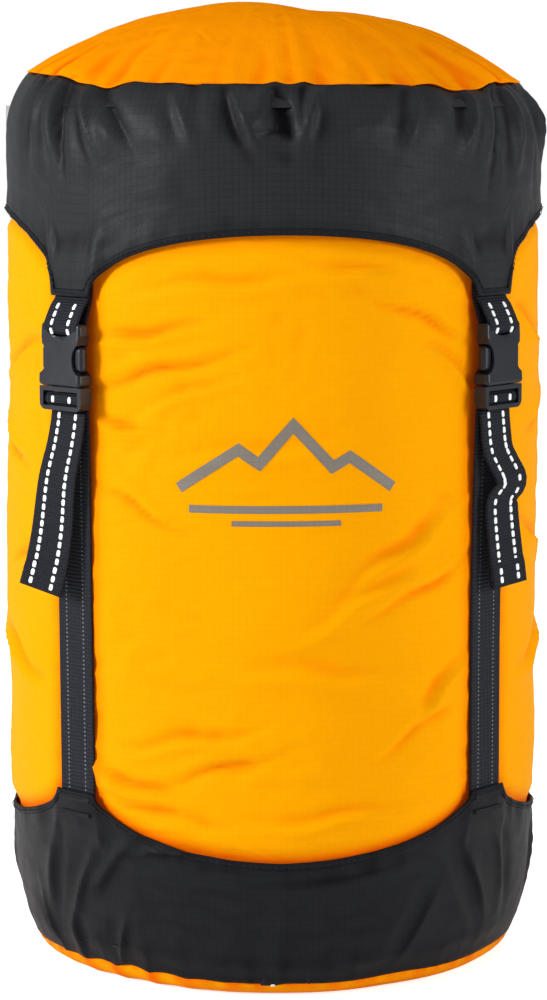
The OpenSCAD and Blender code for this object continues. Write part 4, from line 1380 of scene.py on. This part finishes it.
tube = makeTube()
print("tube made")
for body in ("base", "lid"):
    makeSkirt(body)
for body in ("base", "lid"):
    makeHem(body)
for body in ("lid", "base"):
    makeHemStitches(body)
print("skirts made")
makeLid()
makeCollar()
makeBaseDisc()
print("lid and base made")
makeStraps()
makeHandle()
print("straps and handle made")
makeBuckles()
print("buckles made")
makeEmblem(tube)
print("emblem made")

# the small CAD nodes that stay as they are, with their new materials
keptNodes = {
    "base_seam_tape": darkCloth, "lid_seam_tape": darkCloth, "handle_bartacks": stitchThread,
    "base_tab_bartacks": stitchThread, "lid_tab_bartacks": stitchThread,
    "drawcord_channel": darkCloth, "drawcord": cordBraid,
    "cord_lock_barrel": bucklePlastic, "cord_lock_plunger": bucklePlastic, "cord_lock_spring": springSteel,
    "care_label": labelTape,
}
for node, material in keptNodes.items():
    piece = frame["nodes"][node]
    piece.data.materials.clear()
    piece.data.materials.append(material)
print("small parts coloured")

view = {"azimuth": -2.7, "elevation": 7.0, "distance": 1.45, "aimZ": 0.1875, "lens": 124.2}


def makeCamera():
    a, e = math.radians(view["azimuth"]), math.radians(view["elevation"])
    back = Vector((math.sin(a) * math.cos(e), -math.cos(a) * math.cos(e), math.sin(e)))
    data = bpy.data.cameras.new("camera")
    data.lens = view["lens"]
    data.sensor_width = 36
    camera = placed("camera", data)
    camera.location = Vector((0, 0, view["aimZ"])) + back * view["distance"]
    camera.rotation_euler = back.to_track_quat("Z", "Y").to_euler()
    bpy.context.scene.camera = camera


light = {"backdrop": 1.02, "sky": 0.325, "key": 79, "fill": 41, "top": 6, "floorGlow": 0.68}


def makeFloor():
    clean()
    bpy.ops.mesh.primitive_plane_add(size=60, location=(0, 10, 0))
    floor = bpy.context.object
    floor.name = "floor"
    material, tree, shader, uv, point = newMaterial("paleFloor", 0.9, 0.1)
    cloud = noiseNode(tree, point, 2.0, 2.0)
    tone = mixColour(tree, cloud, (0.93, 0.93, 0.93), (0.96, 0.96, 0.96))
    tree.links.new(tone, shader.inputs["Base Color"])
    shader.inputs["Emission Color"].default_value = (1, 1, 1, 1)
    path = tree.nodes.new("ShaderNodeLightPath")
    glow = mathNode(tree, "MULTIPLY", path.outputs["Is Camera Ray"], light["floorGlow"])
    tree.links.new(glow, shader.inputs["Emission Strength"])
    floor.data.materials.append(material)


def areaLight(name, place, target, size, power):
    data = bpy.data.lights.new(name, "AREA")
    data.shape = "RECTANGLE"
    data.size, data.size_y = size
    data.energy = power
    lamp = placed(name, data)
    lamp.location = place
    lamp.rotation_euler = (Vector(place) - Vector(target)).to_track_quat("Z", "Y").to_euler()


def makeLights():
    world = bpy.data.worlds.new("studio")
    world.use_nodes = True
    tree = world.node_tree
    sky = tree.nodes["Background"]
    sky.inputs["Color"].default_value = (1, 1, 1, 1)
    path = tree.nodes.new("ShaderNodeLightPath")
    seen = path.outputs["Is Camera Ray"]
    strength = mathNode(tree, "MULTIPLY_ADD", seen, light["backdrop"] - light["sky"], light["sky"])
    tree.links.new(strength, sky.inputs["Strength"])
    bpy.context.scene.world = world
    areaLight("key", (-2.5, -0.85, 1.0), (0, 0, 0.2), (0.7, 0.9), light["key"])
    areaLight("fill", (2.2, -1.3, 0.75), (0, 0, 0.2), (0.8, 1.0), light["fill"])
    areaLight("top", (0.1, -0.2, 2.2), (0, 0, 0.3), (1.4, 1.4), light["top"])
    bpy.context.scene.view_settings.view_transform = "Standard"


makeCamera()
makeFloor()
makeLights()
print("camera, floor and light set")
